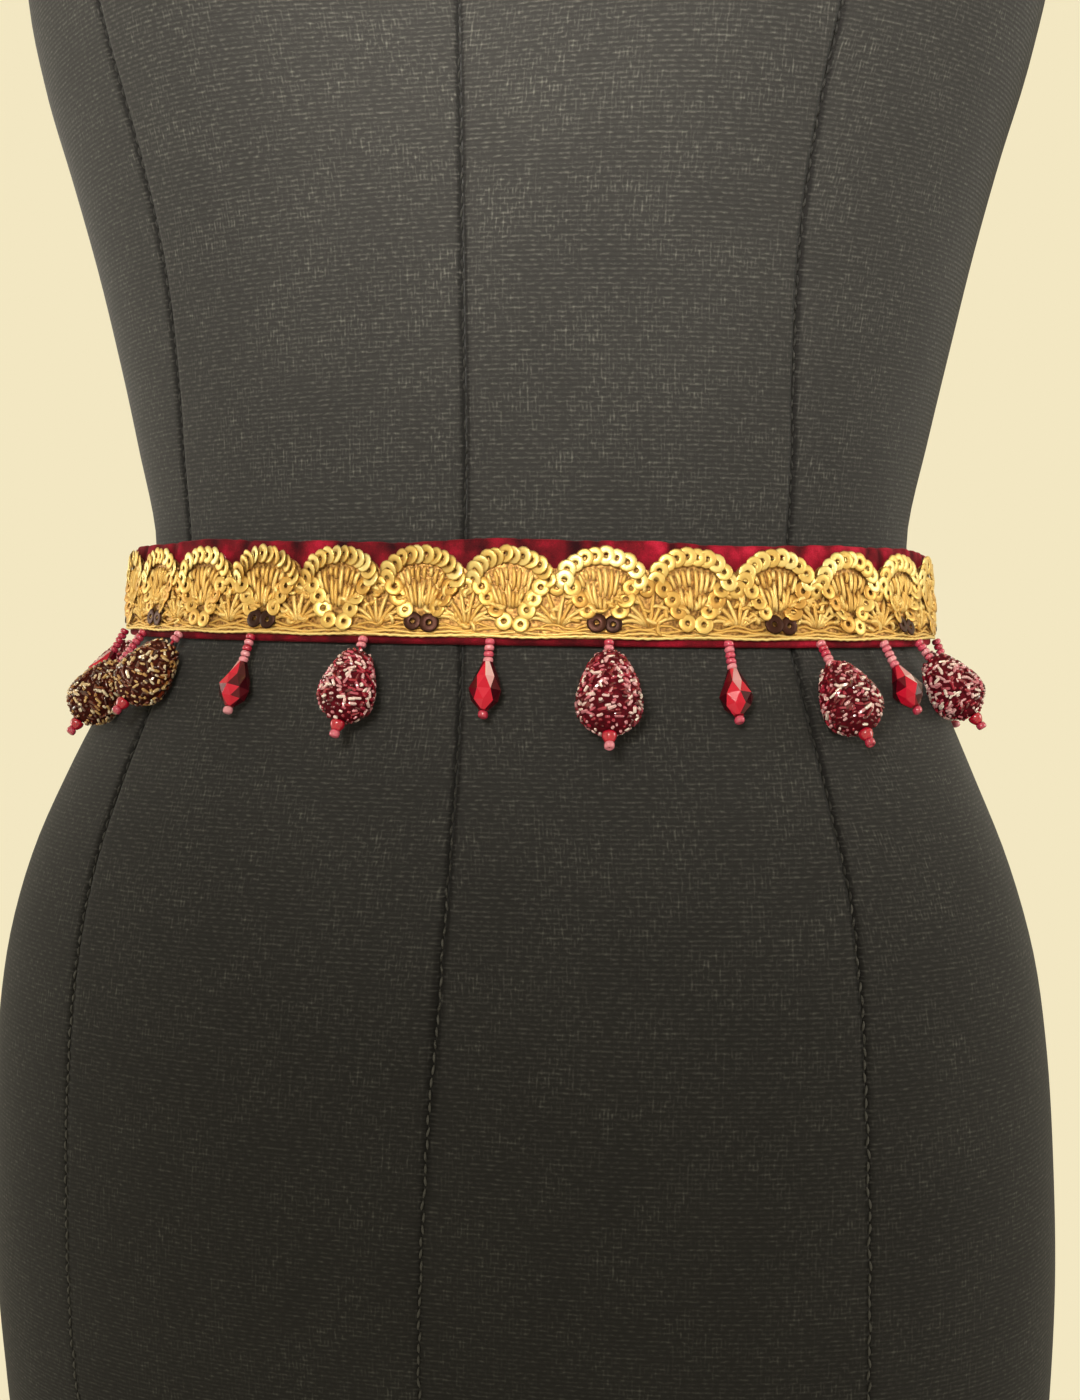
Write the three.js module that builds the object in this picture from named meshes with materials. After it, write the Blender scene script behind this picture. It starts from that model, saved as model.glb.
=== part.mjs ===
// A velvet waist belt with a scalloped sequin border and a fringe of beaded drops, on a limbless dress form.
// Millimetres. X runs to the wearer's left, Y to the wearer's back and Z up from the form's flat base.
import * as THREE from "three";

// The dress form, as level sections from the base up. Each is an oval, widest along a line from side to side.
// z: height; halfWidth: reach to each side; side: y of the widest line; front and back: reach from y = 0;
// boxFront and boxBack: 2 where that half is an ellipse, more where it is boxier.
const FORM_SECTIONS = [
  { z: 0, halfWidth: 159, side: -16, front: 101, back: 99, boxFront: 2.45, boxBack: 2 },
  { z: 6, halfWidth: 164.5, side: -16, front: 107, back: 106, boxFront: 2.5, boxBack: 2 },
  { z: 40, halfWidth: 166.5, side: -17, front: 113, back: 113, boxFront: 2.6, boxBack: 2 },
  { z: 80, halfWidth: 167.5, side: -18, front: 117.5, back: 119, boxFront: 2.6, boxBack: 2 },
  { z: 120, halfWidth: 166, side: -19, front: 119, back: 122, boxFront: 2.6, boxBack: 2 },
  { z: 150, halfWidth: 163.5, side: -20, front: 118.5, back: 120, boxFront: 2.6, boxBack: 2 },
  { z: 176, halfWidth: 159.5, side: -20, front: 116, back: 115, boxFront: 2.6, boxBack: 2 },
  { z: 202, halfWidth: 152, side: -18, front: 112, back: 108, boxFront: 2.6, boxBack: 2 },
  { z: 228, halfWidth: 141.5, side: -14, front: 107, back: 99.5, boxFront: 2.5, boxBack: 2 },
  { z: 250, halfWidth: 132.5, side: -9, front: 102.5, back: 93.5, boxFront: 2.3, boxBack: 2 },
  { z: 268, halfWidth: 126.2, side: -4, front: 99, back: 90, boxFront: 2.1, boxBack: 2 },
  { z: 284, halfWidth: 123.2, side: -1, front: 97, back: 88.3, boxFront: 2, boxBack: 2 },
  { z: 300, halfWidth: 122.2, side: 0, front: 96, back: 88, boxFront: 2, boxBack: 2 },
  { z: 328, halfWidth: 128, side: 0, front: 96.5, back: 90.5, boxFront: 2, boxBack: 2 },
  { z: 356, halfWidth: 134.3, side: 0, front: 97.5, back: 95, boxFront: 2, boxBack: 2 },
  { z: 385, halfWidth: 141, side: 0, front: 98, back: 99.5, boxFront: 2.05, boxBack: 2.05 },
  { z: 414, halfWidth: 148.6, side: 0, front: 97, back: 103, boxFront: 2.15, boxBack: 2.1 },
  { z: 443, halfWidth: 157, side: 0, front: 94.5, back: 105, boxFront: 2.25, boxBack: 2.15 },
  { z: 475, halfWidth: 163, side: 1, front: 92, back: 106, boxFront: 2.35, boxBack: 2.2 },
  { z: 505, halfWidth: 161, side: 3, front: 90.5, back: 106, boxFront: 2.35, boxBack: 2.25 },
  { z: 545, halfWidth: 154, side: 6, front: 88, back: 105, boxFront: 2.35, boxBack: 2.35 },
  { z: 590, halfWidth: 152, side: 10, front: 82, back: 102, boxFront: 2.45, boxBack: 2.45 },
  { z: 622, halfWidth: 156.5, side: 14, front: 75, back: 98, boxFront: 2.5, boxBack: 2.5 },
  { z: 640, halfWidth: 158, side: 17, front: 69, back: 94, boxFront: 2.4, boxBack: 2.4 },
  { z: 652, halfWidth: 151, side: 19, front: 64, back: 91, boxFront: 2.3, boxBack: 2.3 },
  { z: 664, halfWidth: 132, side: 20, front: 58, back: 87, boxFront: 2.2, boxBack: 2.2 },
  { z: 676, halfWidth: 104, side: 20, front: 51, back: 82, boxFront: 2.1, boxBack: 2.1 },
  { z: 688, halfWidth: 79, side: 19, front: 45, back: 77, boxFront: 2.05, boxBack: 2.05 },
  { z: 702, halfWidth: 63, side: 17, front: 41, back: 71, boxFront: 2, boxBack: 2 },
  { z: 720, halfWidth: 55.5, side: 14, front: 40.5, back: 66, boxFront: 2, boxBack: 2 },
  { z: 746, halfWidth: 53, side: 11, front: 42, back: 63, boxFront: 2, boxBack: 2 },
  { z: 757, halfWidth: 52, side: 10, front: 42, back: 62, boxFront: 2, boxBack: 2 },
  { z: 760, halfWidth: 49, side: 10, front: 39, back: 59, boxFront: 2, boxBack: 2 },
];
const BUST = { reach: 21, apart: 75, z: 471, acrossSpread: 54, upSpread: 60 };
const FORM_COLUMNS = 44;
const FORM_ROW_STEP = 19;

// The velvet band, a straight strip wrapped once round the waist and lapped at the centre back.
const BAND_BOTTOM = 266.6;
const BAND_HEIGHT = 28.3;
const BAND_THICK = 2.2;
const BAND_EDGE = { high: 2.2, thick: 1.5 }; // the turned-in edges, softer than the face
const BAND_CLEAR = 0.8; // between the form and the velvet's lower edge
const BAND_STANDOFF = 0.6; // how far the straight strip keeps its lower edge's girth at its upper edge
const BELT_TILT = 0.012; // how much lower it sits for each millimetre to the wearer's left
const BAND_COLUMNS = 120;
const BAND_RIPPLE = 0.5; // how far the soft top edge waves up and down
const BAND_WAVES = [107, 46]; // the lengths of its long and short waves
const LAP = 18; // how far the two ends overlap
const LAP_GAP = 1.6; // between the lapped ends, where the hooks lie
const LAP_RAMP = 20; // the length in which the outer end rises onto the inner one

// The scalloped border, sewn to the band's face, and its raised bottom cord and sequin arches.
const SCALLOP_PITCH = 24.4;
const SCALLOP_START = 4.7; // where one of them begins, along the belt from the centre front
const SCALLOP_COLUMNS = 6;
const SHORTEST_STEP = 0.2; // a share of a column's step, at the border's ends
const BORDER_BOTTOM = 2.1; // above the band's lower edge
const BORDER_VALLEY = 17.6; // its height between two scallops
const BORDER_PEAK = 23; // and at the top of each
const BORDER_BASE = 0.8; // the thickness of the net ground
const BORDER_CORD = { high: 1.6, thick: 1.3 };
const BORDER_ARCH = { high: 4.2, thick: 1.4 };
const BORDER_STEP = 0.6; // the slope from the ground up to the cord and the arches
const BORDER_ENDS = { inner: 1, outer: 1.5 }; // how far the border stops short of the lapped edge and the end
const PIECE_GAP = 0.3;

// The drops of the fringe: a berry is a ball wound with seed beads, a crystal is a cut glass drop.
// at: distance along the belt from the centre front, to the wearer's left; size: its share of the usual size;
// beads: seed beads above the drop; sway: its lean to the wearer's left, in degrees.
const FRONT_DROPS = [
  { at: -112.5, kind: "berry", size: 0.94, beads: 6, sway: -2 },
  { at: -89.6, kind: "berry", size: 0.94, beads: 2, sway: -11 },
  { at: -59.5, kind: "crystal", size: 1, beads: 4, sway: -4 },
  { at: -23.4, kind: "berry", size: 0.92, beads: 2, sway: -6 },
  { at: 11.2, kind: "crystal", size: 1, beads: 3, sway: -3 },
  { at: 42.4, kind: "berry", size: 1.04, beads: 2, sway: -2 },
  { at: 74.6, kind: "crystal", size: 1, beads: 4, sway: -1 },
  { at: 102.5, kind: "berry", size: 0.96, beads: 4, sway: 1 },
  { at: 127, kind: "crystal", size: 0.96, beads: 4, sway: 2 },
  { at: 147, kind: "berry", size: 0.92, beads: 3, sway: 3 },
];
const DROP_STEP = 31.2; // the even step of the drops round the back
const BACK_DROP_BEADS = { berry: 3, crystal: 4 };
const SEED_BEAD = { radius: 1.2, high: 1.9 };
const BEAD_NECK = 0.6; // a bead's share of its radius where it meets the next
const BEAD_PARTING = 0.1;
const THREAD_RADIUS = 0.45;
const BORE_RADIUS = 0.8;
const BEAD_SIDES = 5;
// Profiles from the top of a drop to its foot: along and reach are shares of its height and largest radius.
const BERRY = {
  high: 22.6,
  radius: 8.7,
  sides: 12,
  faceted: false,
  foot: { radius: 2.2, high: 2.2 },
  profile: [
    { along: 0, reach: 0.26 },
    { along: 0.04, reach: 0.46 },
    { along: 0.18, reach: 0.68 },
    { along: 0.38, reach: 0.88 },
    { along: 0.6, reach: 1 },
    { along: 0.78, reach: 0.93 },
    { along: 0.92, reach: 0.6 },
    { along: 1, reach: 0.26 },
  ],
};
const CRYSTAL = {
  high: 13,
  radius: 4.7,
  sides: 8,
  faceted: true,
  foot: null,
  profile: [
    { along: 0, reach: 0.3 },
    { along: 0.32, reach: 0.7 },
    { along: 0.6, reach: 1 },
    { along: 0.82, reach: 0.76 },
    { along: 1, reach: 0.34 },
  ],
};
const DROP_KINDS = { berry: BERRY, crystal: CRYSTAL };
const FORM_TOUCH = 0.7; // between a drop and the form that it leans on
// How a drop's lean is found: its steepest, in radians, the points round each ring of its skin, and halvings.
const STEEPEST_LEAN = 1.2;
const SKIN_POINTS = 16;
const LEAN_HALVINGS = 24;

// The flat hooks that hold the lapped ends together.
const HOOK = { wide: 6, thick: 1, high: 5, heights: [7, 20] };

const MATERIALS = {
  form: new THREE.MeshStandardMaterial({ color: 0x3d3b35, roughness: 0.9 }),
  velvet: new THREE.MeshStandardMaterial({ color: 0x7a1020, roughness: 0.95 }),
  border: new THREE.MeshStandardMaterial({ color: 0xd8aa4a, roughness: 0.35, metalness: 0.9 }),
  berry: new THREE.MeshStandardMaterial({ color: 0x6a1220, roughness: 0.3 }),
  crystal: new THREE.MeshStandardMaterial({ color: 0xb00f28, roughness: 0.05 }),
  seedBeads: new THREE.MeshStandardMaterial({ color: 0xd0405a, roughness: 0.2 }),
  hook: new THREE.MeshStandardMaterial({ color: 0x8d8d90, roughness: 0.35, metalness: 1 }),
};

// A smooth curve through a table's rows: the value of one column at a place along another.
function smooth(rows, key, column, place) {
  const last = rows.length - 1;
  let i = rows.findIndex((row) => row[key] > place) - 1;
  if (i < 0) i = place < rows[0][key] ? 0 : last - 1;
  const slope = (k) => {
    const a = rows[Math.max(k - 1, 0)];
    const b = rows[Math.min(k + 1, last)];
    return (b[column] - a[column]) / (b[key] - a[key]);
  };
  const [a, b] = [rows[i], rows[i + 1]];
  const span = b[key] - a[key];
  const t = THREE.MathUtils.clamp((place - a[key]) / span, 0, 1);
  const [t2, t3] = [t * t, t * t * t];
  return (
    a[column] * (2 * t3 - 3 * t2 + 1) +
    slope(i) * span * (t3 - 2 * t2 + t) +
    b[column] * (3 * t2 - 2 * t3) +
    slope(i + 1) * span * (t3 - t2)
  );
}

function formSection(z) {
  const at = (column) => smooth(FORM_SECTIONS, "z", column, z);
  return {
    halfWidth: at("halfWidth"),
    side: at("side"),
    front: at("front"),
    back: at("back"),
    boxFront: at("boxFront"),
    boxBack: at("boxBack"),
  };
}

// A point of the form's surface at a height. angle is 0 at the centre front and grows to the wearer's left.
function formPoint(angle, z) {
  const s = formSection(z);
  const [sin, cos] = [Math.sin(angle), Math.cos(angle)];
  const [depth, power] = cos > 0 ? [s.front + s.side, 2 / s.boxFront] : [s.back - s.side, 2 / s.boxBack];
  const x = s.halfWidth * Math.sign(sin) * Math.abs(sin) ** power;
  let y = s.side - Math.sign(cos) * depth * Math.abs(cos) ** power;
  const up = Math.exp(-(((z - BUST.z) / BUST.upSpread) ** 2));
  for (const side of [-1, 1]) {
    const across = Math.exp(-(((x - side * BUST.apart) / BUST.acrossSpread) ** 2));
    y -= BUST.reach * up * across * Math.max(cos, 0) ** 0.5;
  }
  return new THREE.Vector3(x, y, z);
}

// The way straight out from the form, level, at a point of its surface.
function outward(angle, z) {
  const step = 0.01;
  const along = formPoint(angle + step, z).sub(formPoint(angle - step, z));
  return new THREE.Vector3(along.y, -along.x, 0).normalize();
}

// How far a point lies outside the form, level from the form's axis.
function outsideForm(point) {
  const s = formSection(point.z);
  const y = point.y - s.side;
  const [depth, box] = y < 0 ? [s.front + s.side, s.boxFront] : [s.back - s.side, s.boxBack];
  const share = (Math.abs(point.x) / s.halfWidth) ** box + (Math.abs(y) / depth) ** box;
  return Math.hypot(point.x, y) * (1 - share ** (-1 / box));
}

// One closed body through a list of sections, each a loop of as many points; around joins the last to the
// first. Each four-sided face is split along its shorter diagonal.
function loft(sections, around, name) {
  const count = sections[0].length;
  const points = sections.flat();
  const faces = [];
  const strips = around ? sections.length : sections.length - 1;
  for (let i = 0; i < strips; i += 1) {
    const next = (i + 1) % sections.length;
    for (let j = 0; j < count; j += 1) {
      const k = (j + 1) % count;
      const [a, b, c, d] = [i * count + j, i * count + k, next * count + k, next * count + j];
      const shorter = points[a].distanceTo(points[c]) <= points[b].distanceTo(points[d]);
      faces.push(...(shorter ? [a, b, c, a, c, d] : [a, b, d, b, c, d]));
    }
  }
  if (!around) {
    const lastStart = (sections.length - 1) * count;
    for (const [a, b, c] of capTriangles(sections[0])) faces.push(c, b, a);
    for (const corners of capTriangles(sections.at(-1))) faces.push(...corners.map((i) => lastStart + i));
  }
  const geometry = new THREE.BufferGeometry().setFromPoints(points);
  geometry.setIndex(faces);
  if (signedVolume(geometry) < 0) geometry.index.array.reverse();
  geometry.name = name;
  return geometry;
}

// The triangles that close a flat loop, worked out in the loop's own plane.
function capTriangles(loop) {
  const middle = loop.reduce((sum, p) => sum.add(p), new THREE.Vector3()).divideScalar(loop.length);
  const right = loop[0].clone().sub(middle).normalize();
  const normal = new THREE.Vector3();
  loop.forEach((p, i) => {
    const next = loop[(i + 1) % loop.length];
    normal.add(p.clone().sub(middle).cross(next.clone().sub(middle)));
  });
  const up = normal.normalize().clone().cross(right);
  const flat = loop.map((p) => {
    const away = p.clone().sub(middle);
    return new THREE.Vector2(away.dot(right), away.dot(up));
  });
  return THREE.ShapeUtils.triangulateShape(flat, []);
}

function signedVolume(geometry) {
  const position = geometry.getAttribute("position");
  const index = geometry.index.array;
  const corner = (i) => new THREE.Vector3().fromBufferAttribute(position, index[i]);
  let volume = 0;
  for (let i = 0; i < index.length; i += 3) volume += corner(i).dot(corner(i + 1).cross(corner(i + 2))) / 6;
  return volume;
}

function mesh(name, geometry, material) {
  const made = new THREE.Mesh(geometry, material);
  made.name = name;
  return made;
}

function dressForm() {
  const top = FORM_SECTIONS.at(-1).z;
  const heights = FORM_SECTIONS.map((row) => row.z).flatMap((z, i, all) => {
    if (z === top) return [z];
    const steps = Math.ceil((all[i + 1] - z) / FORM_ROW_STEP);
    return Array.from({ length: steps }, (_, k) => z + ((all[i + 1] - z) * k) / steps);
  });
  const rings = heights.map((z) =>
    Array.from({ length: FORM_COLUMNS }, (_, j) => formPoint((2 * Math.PI * j) / FORM_COLUMNS, z)),
  );
  return mesh("dress_form", loft(rings, false, "form"), MATERIALS.form);
}

// A point off the belt's wall, which is straight from its lower edge to its upper; out is from its inner face.
function wallPoint(angle, up, out) {
  const low = BAND_BOTTOM - BELT_TILT * formPoint(angle, BAND_BOTTOM).x;
  const foot = formPoint(angle, low);
  const head = formPoint(angle, low + BAND_HEIGHT);
  head.lerp(foot.clone().setZ(head.z), BAND_STANDOFF);
  return foot.lerp(head, up / BAND_HEIGHT).addScaledVector(outward(angle, low), BAND_CLEAR + out);
}

// The belt's own measure: the distance along the band's face, from the centre front to the wearer's left.
const belt = (() => {
  const steps = 720;
  const point = (i) => wallPoint(-Math.PI + (2 * Math.PI * i) / steps, BAND_HEIGHT / 2, BAND_THICK);
  const along = [0];
  for (let i = 1; i <= steps; i += 1) along.push(along[i - 1] + point(i).distanceTo(point(i - 1)));
  const round = along[steps];
  return {
    round,
    // The angle round the form at a distance along the belt; past half a turn it goes on round.
    angle(at) {
      const turns = Math.floor((at + round / 2) / round);
      const left = at + round / 2 - turns * round;
      let i = along.findIndex((d) => d > left);
      if (i < 0) i = steps;
      const share = (left - along[i - 1]) / (along[i] - along[i - 1]);
      return -Math.PI + 2 * Math.PI * (turns + (i - 1 + share) / steps);
    },
  };
})();

// How far the belt is lifted off its usual place, where its outer end climbs onto the inner one.
function lapLift(at) {
  const lapped = belt.round / 2 - LAP / 2;
  return (BAND_THICK + LAP_GAP) * THREE.MathUtils.smoothstep(at, lapped - LAP_RAMP, lapped - 1);
}

// The soft rise and fall of the band's top edge.
function ripple(at) {
  const [long, short] = BAND_WAVES.map((wave) => Math.sin((2 * Math.PI * at) / wave));
  return BAND_RIPPLE * (long + short / 2);
}

// A point off the belt: along it, up from the band's lower edge, and out from its inner face.
function beltPoint(at, up, out) {
  return wallPoint(belt.angle(at), up, lapLift(at) + out);
}

function velvetBand() {
  const start = -belt.round / 2 - LAP / 2;
  const length = belt.round + LAP;
  const sections = Array.from({ length: BAND_COLUMNS + 1 }, (_, i) => {
    const at = start + (length * i) / BAND_COLUMNS;
    const top = BAND_HEIGHT + ripple(at);
    const profile = [
      [0, 0],
      [top, 0],
      [top, BAND_EDGE.thick],
      [top - BAND_EDGE.high, BAND_THICK],
      [BAND_EDGE.high, BAND_THICK],
      [0, BAND_EDGE.thick],
    ];
    return profile.map(([up, out]) => beltPoint(at, up, out));
  });
  return mesh("velvet_band", loft(sections, false, "band"), MATERIALS.velvet);
}

// The border starts where the outer end of the band stops, so it never lies under the lap.
const BORDER_START = -belt.round / 2 + LAP / 2 + BORDER_ENDS.inner;
const BORDER_END = belt.round / 2 + LAP / 2 - BORDER_ENDS.outer;

// The places of the border's columns: its two ends, and between them the same steps in every scallop.
function borderColumns() {
  const step = SCALLOP_PITCH / SCALLOP_COLUMNS;
  const first = Math.ceil((BORDER_START - SCALLOP_START) / step + SHORTEST_STEP);
  const last = Math.floor((BORDER_END - SCALLOP_START) / step - SHORTEST_STEP);
  const between = Array.from({ length: last - first + 1 }, (_, i) => SCALLOP_START + (first + i) * step);
  return [BORDER_START, ...between, BORDER_END];
}

function sequinBorder() {
  const sections = borderColumns().map((at) => {
    const share = 2 * THREE.MathUtils.euclideanModulo((at - SCALLOP_START) / SCALLOP_PITCH, 1) - 1;
    const arch = Math.sqrt(Math.max(1 - share * share, 0));
    const top = BORDER_VALLEY + (BORDER_PEAK - BORDER_VALLEY) * arch;
    const back = BAND_THICK + PIECE_GAP;
    const profile = [
      [0, BORDER_CORD.thick],
      [BORDER_CORD.high, BORDER_CORD.thick],
      [BORDER_CORD.high + BORDER_STEP, BORDER_BASE],
      [top - BORDER_ARCH.high - BORDER_STEP, BORDER_BASE],
      [top - BORDER_ARCH.high, BORDER_ARCH.thick],
      [top, BORDER_ARCH.thick],
    ];
    const outer = profile.map(([up, thick]) => beltPoint(at, BORDER_BOTTOM + up, back + thick));
    const inner = [top, 0].map((up) => beltPoint(at, BORDER_BOTTOM + up, back));
    return [...outer, ...inner];
  });
  return mesh("sequin_border", loft(sections, false, "border"), MATERIALS.border);
}

// Every drop: those at the front from their table, and the rest by turns, at an even step, round to the lap.
function allDrops() {
  const drops = [...FRONT_DROPS];
  const other = { berry: "crystal", crystal: "berry" };
  const add = (from, way) => {
    const end = belt.round / 2 - DROP_STEP / 2;
    let kind = from.kind;
    for (let at = from.at + way * DROP_STEP; Math.abs(at) < end; at += way * DROP_STEP) {
      kind = other[kind];
      drops.push({ at, kind, size: 1, beads: BACK_DROP_BEADS[kind], sway: 0 });
    }
  };
  add(FRONT_DROPS.at(-1), 1);
  add(FRONT_DROPS[0], -1);
  return drops.sort((a, b) => a.at - b.at);
}

// A ring of points about a drop's own axis. turn is in steps of a side.
function ring(radius, height, sides, turn = 0) {
  return Array.from({ length: sides }, (_, j) => {
    const angle = (2 * Math.PI * (j + turn)) / sides;
    return new THREE.Vector3(radius * Math.cos(angle), radius * Math.sin(angle), height);
  });
}

// The thread with its seed beads, from the border down through the drop to the end bead, with its top at the
// origin.
function beadString(kind, beads) {
  const rings = [];
  let height = 0;
  const add = (radius, down) => {
    height -= down;
    rings.push(ring(radius, height, BEAD_SIDES));
  };
  const bead = ({ radius, high }) => {
    add(radius * BEAD_NECK, BEAD_PARTING);
    add(radius, high / 2);
    height -= high / 2;
  };
  add(THREAD_RADIUS, 0);
  for (let i = 0; i < beads; i += 1) bead(SEED_BEAD);
  add(THREAD_RADIUS, BEAD_PARTING);
  add(THREAD_RADIUS, kind.high + 2 * PIECE_GAP);
  if (kind.foot) bead(kind.foot);
  bead(SEED_BEAD);
  add(THREAD_RADIUS, 0);
  return loft(rings, false, "string");
}

function stringLength(beads) {
  return beads * (SEED_BEAD.high + BEAD_PARTING) + BEAD_PARTING;
}

// A drop with its bore. Every second ring of a cut drop is turned by half a side, so its facets are triangles.
function dropBody({ high, radius, sides, profile, faceted }) {
  const turn = (i) => (faceted ? (i % 2) / 2 : 0);
  const outside = profile.map((p, i) => ring(radius * p.reach, -high * p.along, sides, turn(i)));
  const bore = [ring(BORE_RADIUS, -high, sides), ring(BORE_RADIUS, 0, sides)];
  return loft([...outside, ...bore], true, "drop");
}

// The group of one drop, hung under the border with its top bead against the velvet, and leaning out until it
// clears the form.
function hungDrop(drop, number) {
  const usual = DROP_KINDS[drop.kind];
  const kind = { ...usual, high: usual.high * drop.size, radius: usual.radius * drop.size };
  const angle = belt.angle(drop.at);
  const rootUp = BORDER_BOTTOM - PIECE_GAP;
  const root = beltPoint(drop.at, rootUp, BAND_THICK + PIECE_GAP + SEED_BEAD.radius);
  const out = outward(angle, root.z);
  const left = new THREE.Vector3(-out.y, out.x, 0);
  const upright = new THREE.Matrix4().makeBasis(left, out.clone().negate(), new THREE.Vector3(0, 0, 1));
  const sway = THREE.MathUtils.degToRad(drop.sway);
  const leaning = (lean) => {
    const turn = new THREE.Matrix4().makeRotationFromEuler(new THREE.Euler(-lean, -sway, 0));
    return upright.clone().multiply(turn);
  };
  const bodyTop = -(stringLength(drop.beads) + PIECE_GAP);
  const skin = kind.profile.flatMap((p) =>
    ring(kind.radius * p.reach, bodyTop - kind.high * p.along, SKIN_POINTS),
  );
  const clearance = (lean) => {
    const place = leaning(lean).setPosition(root);
    return Math.min(...skin.map((p) => outsideForm(p.clone().applyMatrix4(place))));
  };
  let [low, high] = [0, STEEPEST_LEAN];
  for (let i = 0; i < LEAN_HALVINGS; i += 1) {
    const lean = (low + high) / 2;
    if (clearance(lean) > FORM_TOUCH) high = lean;
    else low = lean;
  }
  const group = new THREE.Group();
  group.position.copy(root);
  group.quaternion.setFromRotationMatrix(leaning(high));
  const label = `${drop.kind}_${String(number).padStart(2, "0")}`;
  const threaded = mesh(`${label}_beads`, beadString(kind, drop.beads), MATERIALS.seedBeads);
  const hung = mesh(label, dropBody(kind), MATERIALS[drop.kind]);
  hung.position.z = bodyTop;
  group.add(threaded, hung);
  return group;
}

function lapHooks() {
  return HOOK.heights.map((up, i) => {
    const hook = mesh(
      `lap_hook_${i + 1}`,
      new THREE.BoxGeometry(HOOK.wide, HOOK.thick, HOOK.high),
      MATERIALS.hook,
    );
    const at = -belt.round / 2;
    const middle = beltPoint(at, up, BAND_THICK + LAP_GAP / 2);
    const left = beltPoint(at + 1, up, 0).sub(beltPoint(at - 1, up, 0)).normalize();
    const rise = beltPoint(at, up + 1, 0).sub(beltPoint(at, up - 1, 0)).normalize();
    const inward = rise.clone().cross(left).normalize();
    hook.quaternion.setFromRotationMatrix(new THREE.Matrix4().makeBasis(left, inward, rise));
    hook.position.copy(middle);
    return hook;
  });
}

const part = new THREE.Group();
part.add(dressForm(), velvetBand(), sequinBorder(), ...lapHooks());
allDrops().forEach((drop, i) => part.add(hungDrop(drop, i + 1)));

export default part;
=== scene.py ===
import math
import random

import bpy
import numpy as np
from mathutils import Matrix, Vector


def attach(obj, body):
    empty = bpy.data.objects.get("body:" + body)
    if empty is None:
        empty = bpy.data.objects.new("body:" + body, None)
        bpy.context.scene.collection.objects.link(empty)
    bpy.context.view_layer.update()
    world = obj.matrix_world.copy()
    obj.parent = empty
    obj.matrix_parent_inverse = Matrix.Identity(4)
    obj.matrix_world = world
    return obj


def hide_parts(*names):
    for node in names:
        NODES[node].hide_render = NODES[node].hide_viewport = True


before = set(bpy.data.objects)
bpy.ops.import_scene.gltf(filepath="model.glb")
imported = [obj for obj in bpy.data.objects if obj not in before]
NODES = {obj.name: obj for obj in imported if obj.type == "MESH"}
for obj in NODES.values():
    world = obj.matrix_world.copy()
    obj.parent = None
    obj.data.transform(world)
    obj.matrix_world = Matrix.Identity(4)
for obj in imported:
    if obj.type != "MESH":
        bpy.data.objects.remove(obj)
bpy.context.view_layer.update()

MM = 0.001

# --------------------------------------------------------------------------------------------------
# The dress form: level oval sections from its base up. side is the y of the widest line, front and back
# the reach from y = 0, and the two boxes are 2 for an ellipse and more for a boxier half.
FORM_COLUMNS = ("height", "half_width", "side", "front", "back", "box_front", "box_back")
FORM_SECTIONS = [
    (0, 159, -16, 101, 99, 2.45, 2),
    (6, 164.5, -16, 107, 106, 2.5, 2),
    (40, 166.5, -17, 113, 113, 2.6, 2),
    (80, 167.5, -18, 117.5, 119, 2.6, 2),
    (120, 166, -19, 119, 122, 2.6, 2),
    (150, 163.5, -20, 118.5, 120, 2.6, 2),
    (176, 159.5, -20, 116, 115, 2.6, 2),
    (202, 152, -18, 112, 108, 2.6, 2),
    (228, 141.5, -14, 107, 99.5, 2.5, 2),
    (250, 132.5, -9, 102.5, 93.5, 2.3, 2),
    (268, 126.2, -4, 99, 90, 2.1, 2),
    (284, 123.2, -1, 97, 88.3, 2, 2),
    (300, 122.2, 0, 96, 88, 2, 2),
    (328, 128, 0, 96.5, 90.5, 2, 2),
    (356, 134.3, 0, 97.5, 95, 2, 2),
    (385, 141, 0, 98, 99.5, 2.05, 2.05),
    (414, 148.6, 0, 97, 103, 2.15, 2.1),
    (443, 157, 0, 94.5, 105, 2.25, 2.15),
    (475, 163, 1, 92, 106, 2.35, 2.2),
    (505, 161, 3, 90.5, 106, 2.35, 2.25),
    (545, 154, 6, 88, 105, 2.35, 2.35),
    (590, 152, 10, 82, 102, 2.45, 2.45),
    (622, 156.5, 14, 75, 98, 2.5, 2.5),
    (640, 158, 17, 69, 94, 2.4, 2.4),
    (652, 151, 19, 64, 91, 2.3, 2.3),
    (664, 132, 20, 58, 87, 2.2, 2.2),
    (676, 104, 20, 51, 82, 2.1, 2.1),
    (688, 79, 19, 45, 77, 2.05, 2.05),
    (702, 63, 17, 41, 71, 2, 2),
    (720, 55.5, 14, 40.5, 66, 2, 2),
    (746, 53, 11, 42, 63, 2, 2),
    (757, 52, 10, 42, 62, 2, 2),
    (760, 49, 10, 39, 59, 2, 2),
]
BUST = {"reach": 21, "apart": 75, "height": 471, "across_spread": 54, "up_spread": 60}

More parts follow.
